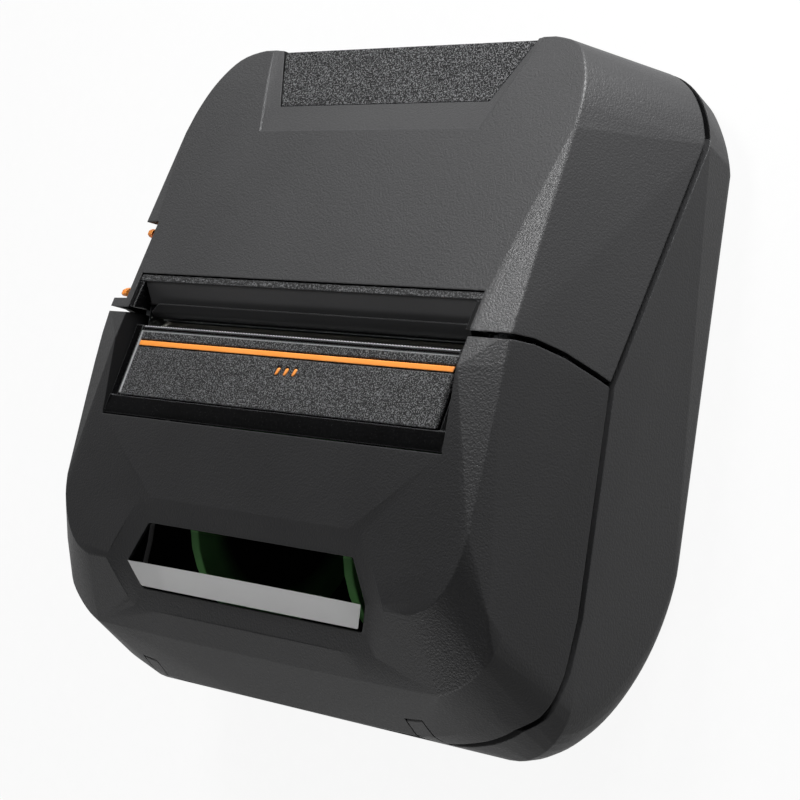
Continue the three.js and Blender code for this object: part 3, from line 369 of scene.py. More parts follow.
def rounded(points, radius):
    """An outline with its corners rounded."""
    outline = []
    for before, corner, after in zip([points[-1], *points], points, [*points[1:], points[0]]):
        corner = Vector(corner)
        back = (Vector(before) - corner).normalized()
        ahead = (Vector(after) - corner).normalized()
        half = back.angle(ahead) / 2
        reach = radius / math.tan(half)
        middle = corner + (back + ahead).normalized() * radius / math.sin(half)
        first, last = corner + back * reach - middle, corner + ahead * reach - middle
        for share in np.linspace(0, 1, CORNER_STEPS):
            outline.append(tuple(middle + first.slerp(last, share)))
    return outline


def copy_of(piece):
    """A second piece of the same shape."""
    twin = piece.copy()
    twin.data = piece.data.copy()
    bpy.context.scene.collection.objects.link(twin)
    return twin


def worked(piece, operation, tools):
    """Joins, cuts or trims a piece with others, which are used up."""
    for tool in tools:
        step = piece.modifiers.new("step", "BOOLEAN")
        step.operation = operation
        step.solver = "MANIFOLD"
        step.object = tool
    shaped = piece.evaluated_get(bpy.context.evaluated_depsgraph_get())
    data = bpy.data.meshes.new_from_object(shaped)
    piece.modifiers.clear()
    piece.data = data
    for tool in tools:
        bpy.data.objects.remove(tool)
    return piece


def cut(piece, *tools):
    """The piece without what the tools fill."""
    return worked(piece, "DIFFERENCE", tools)


def join(piece, *tools):
    """The piece and the tools as one."""
    return worked(piece, "UNION", tools)


def trim(piece, *tools):
    """What the piece and every tool share."""
    return worked(piece, "INTERSECT", tools)


# Shells of the housing

def shell(*spaces):
    """The form's wall, as far as it lies in all the spaces."""
    return trim(cut(copy_of(OUTSIDE), under(WALL)), *spaces)


def shifted(line, by, up):
    """A side-view line, moved along the printer and up."""
    return [(y + by, z + up) for y, z in line]


def rear_space():
    """Everything behind the seam."""
    return prism("x", [*shifted(SEAM_LINE, 0, -SEAM / 2), (-END, -HEIGHT), (END, -HEIGHT)], BEYOND)


def front_space():
    """Everything in front of the seam."""
    return prism("x", [*shifted(SEAM_LINE, 0, SEAM / 2), (-END, ABOVE), (END, ABOVE)], BEYOND)


def upper_space():
    """Everything on the head's side of the split between the covers."""
    return prism("x", [*shifted(SPLIT_LINE, SPLIT / 2, 0), (END, ABOVE), (END, 0)], BEYOND)


def cover_space():
    """Everything on the foot's side of that split."""
    return prism("x", [*shifted(SPLIT_LINE, -SPLIT / 2, 0), (-END, ABOVE), (-END, 0)], BEYOND)


def rear_casing():
    """Back shell with the battery bay, hinge ears, board posts and screw seats."""
    y, z = HINGE
    casing = cut(
        shell(rear_space()),
        bar("x", HINGE_SWEEP, BEYOND, HINGE), block(BEYOND, (-END, y), (z - HINGE_SWEEP, ABOVE)),
    )
    bay_across = (-BAY_HALF - BAY_WALL, BAY_HALF + BAY_WALL)
    walls = [block(bay_across, (BAY_LOW - BAY_WALL, BAY_HIGH + BAY_WALL), (INSIDE, BAY_TOP))]
    for side in (-1, 1):
        ear = on_side(side, HINGE_HALF + TOUCH, HINGE_HALF + TOUCH + EAR)
        leg = block(ear, (-END, y + HINGE_RADIUS), (z - 14, z))
        walls.append(trim(join(bar("x", HINGE_RADIUS, ear, HINGE), leg), copy_of(OUTSIDE)))
        board_post = (BAY_TOP - BAY_WALL / 2, BAY_TOP + 1.6)
        walls += [bar("z", 2.5, board_post, (side * 45, at)) for at in (53.86, 66.86)]
    port_sill = block((-67.94, -64.5), PORT_ALONG, (INSIDE, 5.7))
    guide_pin = bar("z", 1.5, (INSIDE, 4.2), (0, -25.0))
    walls += [port_sill, guide_pin]
    walls += [trim(bar("z", 4, (INSIDE, SCREW_SEAT), at), copy_of(OUTSIDE)) for at in SCREWS]
    casing = join(casing, *walls)
    shanks = [bar("z", 1.5, (-OVER, SCREW_SEAT + OVER), at) for at in SCREWS]
    heads = [bar("z", 2.9, (-OVER, 3.4), at) for at in SCREWS]
    bay = rounded(rectangle((-BAY_HALF, BAY_HALF), (BAY_LOW, BAY_HIGH)), 2.0)
    contacts = block((19.7, 36.3), (8.3, 12.9), (22, BAY_TOP + OVER))
    latch = block((-8.3, 8.3), (BAY_HIGH - TOUCH, 75.5), (-OVER, 1.9))
    pin = bar("x", PIN_BORE, PIN_REACH, HINGE)
    port = prism("x", rounded(rectangle(PORT_ALONG, PORT_UP), 1.2), (BEYOND[0], -66.94))
    return cut(casing, *shanks, *heads, prism("z", bay, (-OVER, BAY_FLOOR)), contacts, latch, pin, port)


def slot_cheek(side, y, space):
    """Wall down one side of the paper slot."""
    across = on_side(side, SLOT_HALF, SLOT_HALF + CHEEK)
    wall = block(across, y, (front_z(SLOT_HIGH) - CHEEK_DEPTH, ABOVE))
    return trim(wall, copy_of(OUTSIDE), space)


def grip_half(y):
    """Half width of the grip strip, which widens to the top end."""
    return GRIP_FOOT_HALF + (GRIP_TOP_HALF - GRIP_FOOT_HALF) * (y - GRIP_FOOT) / (TOP_END - GRIP_FOOT)


def grip_bed(growth, before, depths):
    """Layer under the grip strip, wider than it and begun before its foot."""
    corners = [(GRIP_FOOT_HALF + growth, GRIP_FOOT - before), (grip_half(END) + growth, END)]
    layer = wrapped(both_sides([(x, y, front_z(y) - depth) for x, y in corners for depth in depths]))
    return trim(layer, copy_of(OUTSIDE))


def grip_outline(growth):
    """Outline of the grip strip, or of the well for it."""
    end = GRIP_END + growth
    half = GRIP_FOOT_HALF + growth
    return [(-half, GRIP_FOOT - growth), (half, GRIP_FOOT - growth), (grip_half(end) + growth, end),
            (-grip_half(end) - growth, end)]


def grip_pocket():
    """Slanted cheeks that sink to the grip, and the narrow well it lies in."""
    mouth = [(38.6, GRIP_FOOT - 6.8), (50.0, END)]
    floor = [(GRIP_FOOT_HALF + 0.1, GRIP_FOOT - 0.1), (grip_half(END) + 0.1, END)]
    cheeks = wrapped(both_sides([
        *((x, y, front_z(y) - 0.26) for x, y in mouth), *((x, y, front_z(y) - GRIP_DROP) for x, y in floor),
        *((x, y, front_z(y) + 9) for x, y in mouth),
    ]))
    # Only the well's two lower corners are rounded; its sides run on past the top end
    lower = rounded(grip_outline(GRIP_GAP), 1.6)[:-2 * CORNER_STEPS]
    upper = [(-grip_half(END) - GRIP_GAP, END), (grip_half(END) + GRIP_GAP, END)]
    well = wrapped([
        (x, y, front_z(y) - depth) for x, y in lower + upper for depth in (GRIP_DROP - 0.5, GRIP_DROP + 1.4)
    ])
    return join(cheeks, well)


def grip_pad():
    """Textured grip let into its well, with rounded lower corners."""
    corners = rounded(grip_outline(0), 1.2)
    depths = (GRIP_DROP + 0.05, GRIP_DROP + 1.2)
    pad = wrapped([(x, y, front_z(y) - depth) for x, y in corners for depth in depths])
    return trim(pad, under(0.25))


def lever_pocket():
    """Recess for the release lever, with a slant along its upper edge."""
    left, reach, sunk = BEYOND[0], (POCKET_LOW, POCKET_HIGH), 9.2
    well = block((left, POCKET_WALL), reach, (POCKET_FLOOR, ABOVE))
    slant = []
    for y in reach:
        slant += [(POCKET_WALL, y, front_z(y) - sunk), (POCKET_WALL + 4.6, y, front_z(y) + TOUCH)]
        slant += [(left, y, front_z(y) - sunk), (left, y, ABOVE)]
    return join(well, wrapped(slant))


def upper_cover():
    """Front housing above the paper slot, with the grip, lever and control panel pockets."""
    slot = block((-SLOT_HALF, SLOT_HALF), (-END, SLOT_HIGH), (front_z(SLOT_HIGH) - SLOT_DEPTH, ABOVE))
    cover = cut(shell(front_space(), upper_space()), slot)
    cheeks = [slot_cheek(side, (CHEEK_END, SLOT_HIGH + CHEEK), upper_space()) for side in (-1, 1)]
    beds = [grip_bed(2, 2, (1.2, 4.9)), grip_bed(4, 5.5, (0.5, 2.5))]
    bosses = [trim(bar("z", 2.8, (SCREW_SEAT + TOUCH, ABOVE), at), copy_of(OUTSIDE)) for at in SCREWS]
    lever_wall = trim(block(
        (BEYOND[0], POCKET_WALL + POCKET_SKIN), (POCKET_LOW - POCKET_SKIN, POCKET_HIGH + POCKET_SKIN),
        (POCKET_FLOOR - POCKET_SKIN, ABOVE),
    ), copy_of(OUTSIDE))
    cover = join(cover, *cheeks, *beds, *bosses, lever_wall)
    threads = [bar("z", 1.3, (SCREW_SEAT, 24.3), at) for at in SCREWS]
    stem_hole = block((-69.5, -64.2), (23.7, 26.8), (50.2, 53.3))
    panel_seat = block((-50.3, 50.3), (TOP_END - 1.3, END), (14.1, 35.3))
    return cut(cover, lever_pocket(), grip_pocket(), *threads, stem_hole, panel_seat)


def slot_lip():
    """Smooth slanted face under the slot's upper edge."""
    half, foot = SLOT_HALF - 0.1, (LIP_EDGE[0], LIP_EDGE[1] - 1.5)
    head = below_front((BAND_HIGH, 0.9), (BAND_HIGH, 2.1))
    return prism("x", [*head, foot, LIP_EDGE, *below_front((BAND_LOW, 0.9))], (-half, half))


def slot_band():
    """Narrow grained band along the slot's upper edge."""
    outline = below_front((BAND_HIGH, 0.35), (BAND_HIGH, 0.95), (BAND_LOW, 0.95), (BAND_LOW, 0.35))
    return prism("x", outline, (0.15 - SLOT_HALF, SLOT_HALF - 0.15))


def slot_rim(side):
    """Glossy rim down one side of the slot, next to the cheek."""
    high, low, half = SLOT_HIGH - 2.2, 10.7, SLOT_HALF - 0.15
    outline = below_front((high, 0.45), (high, 5), (low, 5), (low, 0.45))
    return prism("x", outline, on_side(side, half - 1.6, half))


def tear_rail():
    """Smooth dark rail over the paper's way out, slanted at its ends."""
    low, high = TEAR_LOW - 0.3, TEAR_HIGH + 0.2
    outline = [(-TEAR_HALF, low), (TEAR_HALF, low), (TEAR_HALF - 0.6, high), (3.0 - TEAR_HALF, high)]
    rail = prism("z", rounded(outline, 0.6), (TEAR_TOP - 3, TEAR_TOP + 0.2))
    slope = [(low - 1, TEAR_TOP - 1.2), (low + 1.0, TEAR_TOP + 0.2), (low - 1, TEAR_TOP + 2)]
    return cut(rail, prism("x", slope, BEYOND))


def saw_edge():
    """Fine toothed steel strip along the head of the peel plate."""
    half, root, tip, pitch = 56.0, 6.2, 6.45, 1.0
    teeth = []
    for index in range(round(2 * half / pitch)):
        teeth += [(half - pitch * index, root), (half - pitch * (index + 0.5), tip)]
    return prism("z", [(-half, root), (-half, root - 0.08), (half, root - 0.08), *teeth], (61.1, 61.35))


def plate_strip(low, high, raised, across):
    """Thin strip that stands a little out of the peel plate."""
    return prism("x", [
        (low, plate_z(low) - BEAD_SUNK), (high, plate_z(high) - BEAD_SUNK),
        (high, plate_z(high) + raised), (low, plate_z(low) + raised),
    ], across)


def plate_edge():
    """Pale bead down the plate's left edge and along its head."""
    return join(plate_strip(-11.2, 5.15, 0.07, (-56.6, -55.95)), plate_strip(4.8, 5.1, 0.05, BEAD_REACH))


def plate_groove():
    """Dark strip between the plate's head and the saw edge."""
    return plate_strip(5.12, 6.0, 0.04, BEAD_REACH)


def lever_blade():
    """Release lever: a low blade with a raised tip at each end, and the stem that pushes the lock."""
    low, high, foot, drop = 13.98, 32.4, 46.92, 9.4
    stem_low, stem_high, stem_foot = 23.99, 26.49, 50.48
    blade = prism("x", [(low, foot), (high, foot), *below_front((high, drop), (low, drop))], (-74.3, -71.3))
    tips = []
    for end, inward in ((low, 1), (high, -1)):
        outline = below_front(*((end + inward * along, depth) for along, depth in (
            (0, 10), (0, 6.2), (0.5, 5.5), (1.5, 5.5), (2.1, 6.3), (2.9, 9.2), (3, 10))))
        tips.append(prism("x", outline, (-73.1, -71.4)))
    neck = prism("y", [
        (-72, 48), (-70.7, 48), (-70.7, stem_foot), (-69.2, stem_foot), (-69.2, 52.5), (-72, 50.8),
    ], (stem_low, stem_high))
    stem = prism("z", [
        (-69.4, stem_low), (-57.58, stem_low), (-61.18, stem_high), (-69.4, stem_high),
    ], (stem_foot, 52.98))
    return join(blade, neck, stem, *tips)


def platen_ear(across):
    """Lug of the roll cover that carries one end of the platen."""
    y, foot = PLATEN[0], PLATEN[1] - 4
    outline = [
        (y - 4, foot + 2), (y - 2, foot), (y + 2, foot), (y + 4, foot + 2), (y + 4, ABOVE), (y - 4, ABOVE),
    ]
    return trim(prism("x", outline, across), copy_of(OUTSIDE))


def pane_outline(growth):
    """Outline of the pane, or of the opening for it."""
    half = [(x + growth, y + growth * bow) for (x, y), bow in zip(PANE, (1, 0, -1))]
    return rounded(mirrored(half), PANE_CORNER)


def window_dish():
    """Slanted facets that sink from the cover's face to the pane, above and below the crease."""
    parts = []
    for outer, inner in ((BEZEL[:2], PANE[:2]), (BEZEL[1:], PANE[1:])):
        points = [(x, y, skin_z(x, y) + rise) for rise in (2.5, 0.05) for x, y in outer]
        points += [(x + 0.45, y, skin_z(x, y) - 1.5) for x, y in inner]
        points += [(0, y, skin_z(0, y) + 0.05) for _, y in outer]
        parts.append(wrapped(both_sides(points)))
    return join(*parts)


def roll_cover():
    """Clamshell front with its hinge barrel, platen ears and window opening."""
    slot = block((-SLOT_HALF, SLOT_HALF), (SLOT_LOW, END), (front_z(SLOT_HIGH) - SLOT_DEPTH, ABOVE))
    cover = cut(shell(front_space(), cover_space()), slot)
    cheeks = [slot_cheek(side, (SLOT_LOW - CHEEK, CHEEK_END), cover_space()) for side in (-1, 1)]
    ears = [platen_ear(on_side(side, 66.4, 68.2)) for side in (-1, 1)]
    cover = join(cover, *cheeks, *ears)
    y, z = HINGE
    ear_end = HINGE_HALF + TOUCH + EAR + TOUCH
    notches = [
        block(on_side(side, HINGE_HALF, ear_end), (-END, y + HINGE_SWEEP), (0, z + HINGE_SWEEP))
        for side in (-1, 1)
    ]
    room = block((-HINGE_HALF, HINGE_HALF), (-END, y + HINGE_RADIUS), (0, z))
    cover = cut(cover, *notches, room)
    barrel = bar("x", HINGE_RADIUS, (-HINGE_HALF, HINGE_HALF), HINGE)
    web = block((-HINGE_HALF, HINGE_HALF), (y - 1.5, y + 1.5), (z, z + 8))
    cover = join(cover, trim(join(barrel, web), copy_of(OUTSIDE)))
    pin = bar("x", PIN_BORE, PIN_REACH, HINGE)
    platen = bar("x", PLATEN_BORE, (-68.5, 68.5), PLATEN)
    return cut(cover, pin, platen, window_dish(), prism("z", pane_outline(PANE_GAP), (HEIGHT / 2, ABOVE)))


def window_pane():
    """Clear moulded pane that follows the cover's crease."""
    pane = trim(prism("z", pane_outline(0), (HEIGHT / 2, ABOVE)), under(0.8))
    return cut(pane, under(2.0))


# Finishes

def colour(code):
    """An sRGB hex code as a linear colour."""
    parts = [int(code[i:i + 2], 16) / 255 for i in (1, 3, 5)]
    linear = [p / 12.92 if p <= 0.04045 else ((p + 0.055) / 1.055) ** 2.4 for p in parts]
    return (*linear, 1.0)


def put(material, kind, settings=None, links=None):
    """Adds a node to a material or the world; a link names a socket and what feeds it."""
    node = material.node_tree.nodes.new(kind)
    for name, value in (settings or {}).items():
        if isinstance(name, str) and name.islower():
            setattr(node, name, value)
        else:
            node.inputs[name].default_value = value
    for name, source in (links or {}).items():
        material.node_tree.links.new(source, node.inputs[name])
    return node


def blank(name):
    """A new material with no nodes yet."""
    material = bpy.data.materials.new(name)
    material.use_nodes = True
    material.node_tree.nodes.clear()
    return material


def per(size):
    """Texture scale for a pattern of that size in millimetres."""
    return 1000 / size


def stretch(low, high, start=0.0, end=1.0):
    """Settings that stretch a pattern's values between start and end to a new range."""
    return {"From Min": start, "From Max": end, "To Min": low, "To Max": high}


# A colour mix's sockets, by number because their names repeat: its two colours and its result
ONE, OTHER, MIXED = 6, 7, 2


def looked_at(material):
    """1 for a ray that looks, from the camera, in gloss or through the pane, else 0; and the ray's node."""
    ray = put(material, "ShaderNodeLightPath")
    seen = ray.outputs["Is Camera Ray"]
    for kind in ("Is Glossy Ray", "Is Transmission Ray"):
        either = put(material, "ShaderNodeMath", {"operation": "MAXIMUM"}, {0: seen, 1: ray.outputs[kind]})
        seen = either.outputs[0]
    return seen, ray


def moulded(name, base, light, rough, grain, depth, level=0.3, dust_and_glint=0.0, wrinkle=0.0, edge="#5d5e61",
            painted_core_shade=False):
    """Injection-moulded plastic from a textured tool: grain size and depth in millimetres; edge is the colour
    of a painted highlight along edges.
    """
    material = blank(name)
    place = put(material, "ShaderNodeTexCoord").outputs["Object"]
    cloud = put(material, "ShaderNodeTexNoise", {"Scale": per(28), "Detail": 3.0}, {"Vector": place})
    fine = put(material, "ShaderNodeTexNoise", {"Scale": per(grain), "Detail": 4.0, "Roughness": 0.6},
               {"Vector": place})
    tone = put(material, "ShaderNodeMapRange", stretch(0, 1, 0.35, 0.65), {"Value": cloud.outputs[0]})
    tint = put(material, "ShaderNodeMix", {"data_type": "RGBA", ONE: colour(base), OTHER: colour(light)},
               {0: tone.outputs[0]})
    if dust_and_glint:
        # Painted glints, and dust on the piano black: the highest grains are coloured pale
        glint_and_dust_spots = put(material, "ShaderNodeMapRange", stretch(0, dust_and_glint, 0.5, 0.59),
                    {"Value": fine.outputs[0]})
        tint = put(material, "ShaderNodeMix", {"data_type": "RGBA", OTHER: colour("#c3c4c6")},
                   {0: glint_and_dust_spots.outputs[0], ONE: tint.outputs[MIXED]})
    # Painted highlight along edges, a shade lighter: where a normal rounded over half a millimetre leaves the
    # true one
    soft = put(material, "ShaderNodeBevel", {"samples": 4, "Radius": 0.5 / 1000})
    surface = put(material, "ShaderNodeNewGeometry")
    likeness = put(material, "ShaderNodeVectorMath", {"operation": "DOT_PRODUCT"},
                   {0: soft.outputs[0], 1: surface.outputs["Normal"]})
    edge_highlight = put(material, "ShaderNodeMapRange", stretch(0.6, 0, 0.82, 0.975),
               {"Value": likeness.outputs["Value"]})
    tint = put(material, "ShaderNodeMix", {"data_type": "RGBA", OTHER: colour(edge)},
               {0: edge_highlight.outputs[0], ONE: tint.outputs[MIXED]})
    if painted_core_shade:
        # Painted shade: black within 17.5 mm of the paper roll's axis, then over 4.5 mm to the guide's own
        # colour
        off_axis = put(material, "ShaderNodeVectorMath",
                       {"operation": "MULTIPLY_ADD", 1: (0, 1, 1), 2: OFF_ROLL_AXIS},
                       {0: surface.outputs["Position"]})
        away = put(material, "ShaderNodeVectorMath", {"operation": "LENGTH"}, {0: off_axis.outputs[0]})
        core_shade_mask = put(material, "ShaderNodeMapRange", stretch(1, 0, 17.5 / 1000, 22 / 1000),
                     {"Value": away.outputs["Value"]})
        tint = put(material, "ShaderNodeMix", {"data_type": "RGBA", OTHER: colour("#0b0b0b")},
                   {0: core_shade_mask.outputs[0], ONE: tint.outputs[MIXED]})
    height = fine.outputs[0]
    if wrinkle:
        # Leather cells with creases between them, pushed about by up to a cell
        warp = put(material, "ShaderNodeTexNoise", {"Scale": per(wrinkle * 2), "Detail": 1.0},
                   {"Vector": place})
        pushed = put(material, "ShaderNodeVectorMath", {"operation": "MULTIPLY_ADD", 1: (wrinkle / 900,) * 3},
                     {0: warp.outputs["Color"], 2: place})
        cells = put(material, "ShaderNodeTexVoronoi",
                    {"feature": "SMOOTH_F1", "Scale": per(wrinkle), "Smoothness": 0.4},
                    {"Vector": pushed.outputs[0]})
        height = put(material, "ShaderNodeMath", {"operation": "MULTIPLY_ADD", 1: -1.6},
                     {0: cells.outputs["Distance"], 2: fine.outputs[0]}).outputs[0]
    bump = put(material, "ShaderNodeBump", {"Strength": 1.0, "Distance": depth / 1000},
               {"Height": height, "Normal": soft.outputs[0]})
    gloss = put(material, "ShaderNodeMapRange", stretch(rough - 0.07, rough + 0.09, 0.3, 0.7),
                {"Value": fine.outputs[0]})
    shader = put(material, "ShaderNodeBsdfPrincipled", {"IOR": 1.54, "Specular IOR Level": level},
                 {"Base Color": tint.outputs[MIXED], "Roughness": gloss.outputs[0],
                  "Normal": bump.outputs[0]})
    put(material, "ShaderNodeOutputMaterial", links={"Surface": shader.outputs[0]})
    return material


def metal(name, base, dark, rough, streak):
    """Bare metal with fine streaks from rolling or turning, streak size in millimetres."""
    material = blank(name)
    place = put(material, "ShaderNodeTexCoord").outputs["Object"]
    drawn = put(material, "ShaderNodeMapping", {"Scale": (0.04, 1, 1)}, {"Vector": place})
    lines = put(material, "ShaderNodeTexNoise", {"Scale": per(streak), "Detail": 3.0},
                {"Vector": drawn.outputs[0]})
    stain = put(material, "ShaderNodeTexNoise", {"Scale": per(9), "Detail": 4.0}, {"Vector": place})
    stained = put(material, "ShaderNodeMapRange", stretch(0, 1, 0.4, 0.7), {"Value": stain.outputs[0]})
    tint = put(material, "ShaderNodeMix", {"data_type": "RGBA", ONE: colour(base), OTHER: colour(dark)},
               {0: stained.outputs[0]})
    bump = put(material, "ShaderNodeBump", {"Strength": 0.6, "Distance": 0.01 / 1000},
               {"Height": lines.outputs[0]})
    gloss = put(material, "ShaderNodeMapRange", stretch(rough - 0.08, rough + 0.1, 0.3, 0.7),
                {"Value": lines.outputs[0]})
    shader = put(material, "ShaderNodeBsdfPrincipled", {"Metallic": 1.0},
                 {"Base Color": tint.outputs[MIXED], "Roughness": gloss.outputs[0],
                  "Normal": bump.outputs[0]})
    put(material, "ShaderNodeOutputMaterial", links={"Surface": shader.outputs[0]})
    return material


def smoked_polycarbonate():
    """Smoke-tinted pane, polished: nearly black, the green guides just show through."""
    material = blank("smoked_polycarbonate")
    place = put(material, "ShaderNodeTexCoord").outputs["Object"]
    flow = put(material, "ShaderNodeTexNoise", {"Scale": per(35), "Detail": 1.0}, {"Vector": place})
    bump = put(material, "ShaderNodeBump", {"Strength": 0.2, "Distance": 0.05 / 1000},
               {"Height": flow.outputs[0]})
    gloss = put(material, "ShaderNodeMapRange", stretch(0.03, 0.08, 0.3, 0.7), {"Value": flow.outputs[0]})
    tint = put(material, "ShaderNodeMix",
               {"data_type": "RGBA", ONE: colour("#030303"), OTHER: colour("#060607")}, {0: flow.outputs[0]})
    smoke = put(material, "ShaderNodeMapRange", stretch(0.06, 0.1), {"Value": flow.outputs[0]})
    pane = put(material, "ShaderNodeBsdfPrincipled", {"IOR": 1.5, "Specular IOR Level": 0.03},
               {"Base Color": tint.outputs[MIXED], "Alpha": smoke.outputs[0],
                "Roughness": gloss.outputs[0], "Normal": bump.outputs[0]})
    clear = put(material, "ShaderNodeBsdfTransparent", {"Color": colour("#f4f6f5")})
    path = put(material, "ShaderNodeLightPath")
    shader = put(material, "ShaderNodeMixShader",
                 links={0: path.outputs["Is Shadow Ray"], 1: pane.outputs[0], 2: clear.outputs[0]})
    put(material, "ShaderNodeOutputMaterial", links={"Surface": shader.outputs[0]})
    return material


def pale_polycarbonate_painted_reflection():
    """The pane's lower facet: pale grey, a painted reflection of the white backdrop, and only a little light
    comes through.
    """
    material = blank("pale_polycarbonate_painted_reflection")
    place = put(material, "ShaderNodeTexCoord").outputs["Object"]
    cloud = put(material, "ShaderNodeTexNoise", {"Scale": per(30), "Detail": 1.0}, {"Vector": place})
    across = put(material, "ShaderNodeSeparateXYZ", links={0: place})
    # Painted shadow of the left roll guide: darker on the guide's side, brighter past its edge over a soft
    # step
    step = put(material, "ShaderNodeMapRange", stretch(0, 1, -0.031, -0.028), {"Value": across.outputs["X"]})
    tint = put(material, "ShaderNodeMix",
               {"data_type": "RGBA", ONE: colour("#d0d0d0"), OTHER: colour("#dadada")}, {0: step.outputs[0]})
    haze = put(material, "ShaderNodeMapRange", stretch(0, 0.3, 0.3, 0.7), {"Value": cloud.outputs[0]})
    tint = put(material, "ShaderNodeMix", {"data_type": "RGBA", OTHER: colour("#c6c6c6")},
               {0: haze.outputs[0], ONE: tint.outputs[MIXED]})
    bump = put(material, "ShaderNodeBump", {"Strength": 0.2, "Distance": 0.02 / 1000},
               {"Height": cloud.outputs[0]})
    gloss = put(material, "ShaderNodeMapRange", stretch(0.3, 0.4), {"Value": cloud.outputs[0]})
    shader = put(material, "ShaderNodeBsdfPrincipled", {"IOR": 1.5, "Transmission Weight": 0.1},
                 {"Base Color": tint.outputs[MIXED], "Roughness": gloss.outputs[0],
                  "Normal": bump.outputs[0]})
    put(material, "ShaderNodeOutputMaterial", links={"Surface": shader.outputs[0]})
    return material


# Added to a place on a guide, this gives its offset from the paper roll's axis, in metres
OFF_ROLL_AXIS = (0, 0.03513, -0.033)
FINISH = {
    # ABS covers: a fine leathery grain that only shows where light grazes it
    "cover_abs": moulded("grained_abs_cover", "#353536", "#383839", 0.39, 0.45, 0.036, level=0.35,
                         wrinkle=0.5, edge="#414244"),
    # Roll cover: the covers' plastic, duller, and a shade darker as painted shade
    "shaded_lid_abs": moulded("grained_abs_lid_shaded", "#2d2d2e", "#303031", 0.42, 0.45, 0.036, level=0.3,
                       wrinkle=0.5, edge="#3a3b3d"),
    # ABS back casing and battery pack: the covers' colour, the grain a little coarser, shallower and duller
    "casing_abs": moulded("grained_abs_casing", "#353536", "#383839", 0.42, 0.5, 0.028, level=0.35,
                          wrinkle=0.55, edge="#414244"),
    # Coarse spark-eroded grip, buttons and battery latch: painted pale glints on black
    "sparkle_abs": moulded("coarse_spark_abs", "#060607", "#09090a", 0.55, 0.36, 0.12, level=0.12,
                           dust_and_glint=0.32),
    # Band along the slot: the same grain, worn smoother
    "band_abs": moulded("coarse_spark_abs_band", "#0b0b0c", "#101011", 0.5, 0.42, 0.08, level=0.25,
                        dust_and_glint=0.26),
    # Peel plate: the same grain, finer
    "plate_abs": moulded("coarse_spark_abs_plate", "#080809", "#0c0c0d", 0.5, 0.32, 0.1, level=0.2,
                         dust_and_glint=0.33),
    # The bead on the plate's edge: pale
    "pale_bead_abs": moulded("pale_abs_bead", "#8c8d8e", "#a2a3a4", 0.5, 0.35, 0.08, dust_and_glint=0.7),
    # Insides of the shells: the same plastic from a plain tool, matt, and black with painted shade
    "shaded_inner_abs": moulded("inside_abs_painted_shade", "#0d0d0e", "#101011", 0.6, 0.6, 0.01, level=0.15, edge="#232324"),
    # Slanted slot face and guide pinion: plain dark moulding
    "smooth_abs": moulded("smooth_abs_slot", "#363637", "#3a3a3b", 0.45, 0.4, 0.008, level=0.25),
    # Piano-black frame, rims and small inner parts, with dust and faint flow marks
    "gloss_abs": moulded("piano_black_abs", "#050505", "#080809", 0.2, 0.45, 0.003, level=0.12,
                         dust_and_glint=0.004, edge="#7b7c7e"),
    # Orange pigmented ABS, satin
    "orange_abs": moulded("orange_abs", "#ff9636", "#ffa24a", 0.42, 0.4, 0.01, level=0.4, edge="#ffb070"),
    # Green pigmented ABS of the roll guides, satin, with painted shade that turns their inner part black
    "green_abs": moulded("green_abs", "#84cf7a", "#8ed885", 0.45, 0.4, 0.01, edge="#8fc086", painted_core_shade=True),
    # Powder coat of the tear rail: satin black with painted highlights on its edges
    "rail_black": moulded("black_powder_coat", "#101011", "#141415", 0.42, 0.4, 0.012, level=0.25,
                          edge="#77787a"),
    # Silicone rubber of the platen, ground matt
    "platen_rubber": moulded("ground_silicone_rubber", "#17181a", "#1d1e20", 0.8, 0.3, 0.03, level=0.2),
    # Soft port flap, matt
    "flap_rubber": moulded("moulded_tpe_rubber", "#1b1c1d", "#202122", 0.75, 0.6, 0.03, level=0.2),
    # Glass-filled nylon of gears and lock, cream
    "nylon": moulded("moulded_nylon", "#dedbd0", "#e9e6dc", 0.45, 0.5, 0.01, edge="#f4f2ea"),
    # Glazed alumina of the print head
    "alumina": moulded("glazed_alumina", "#d4cfc2", "#ded9cc", 0.25, 0.3, 0.004, edge="#efece2"),
    # Epoxy glass board under a green solder mask
    "solder_mask": moulded("green_solder_mask", "#1d5a34", "#226640", 0.35, 0.8, 0.01, edge="#8a9a5a"),
    # Frosted clear lenses of the status lamps
    "lens": moulded("frosted_acrylic_lens", "#b9c6cf", "#c9d4dc", 0.3, 0.4, 0.01, edge="#e6edf2"),
    # Zinc-plated sheet steel and turned steel: cool grey with faint streaks
    "sheet_steel": metal("zinc_plated_steel", "#b4b7ba", "#8f9397", 0.32, 0.25),
    # Bead-blasted saw edge, pale and dull
    "bright_steel": metal("blasted_steel_edge", "#f0f1f2", "#dcdee0", 0.55, 0.15),
    # Extruded heat sink: paler and softer than the steel
    "aluminium": metal("extruded_aluminium", "#c3c6c9", "#a9adb1", 0.36, 0.3),
    # Turned brass of bushes, pinion and contacts: warm yellow
    "brass": metal("turned_brass", "#c9a24a", "#a9853a", 0.3, 0.2),
    "pane": smoked_polycarbonate(),
    "painted_reflection_pane": pale_polycarbonate_painted_reflection(),
}


# Placing pieces

def into_model(piece):
    """Millimetres in the printer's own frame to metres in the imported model's."""
    piece.data.transform(Matrix.Scale(0.001, 4) @ Matrix.Translation((0, ALONG, 0)))


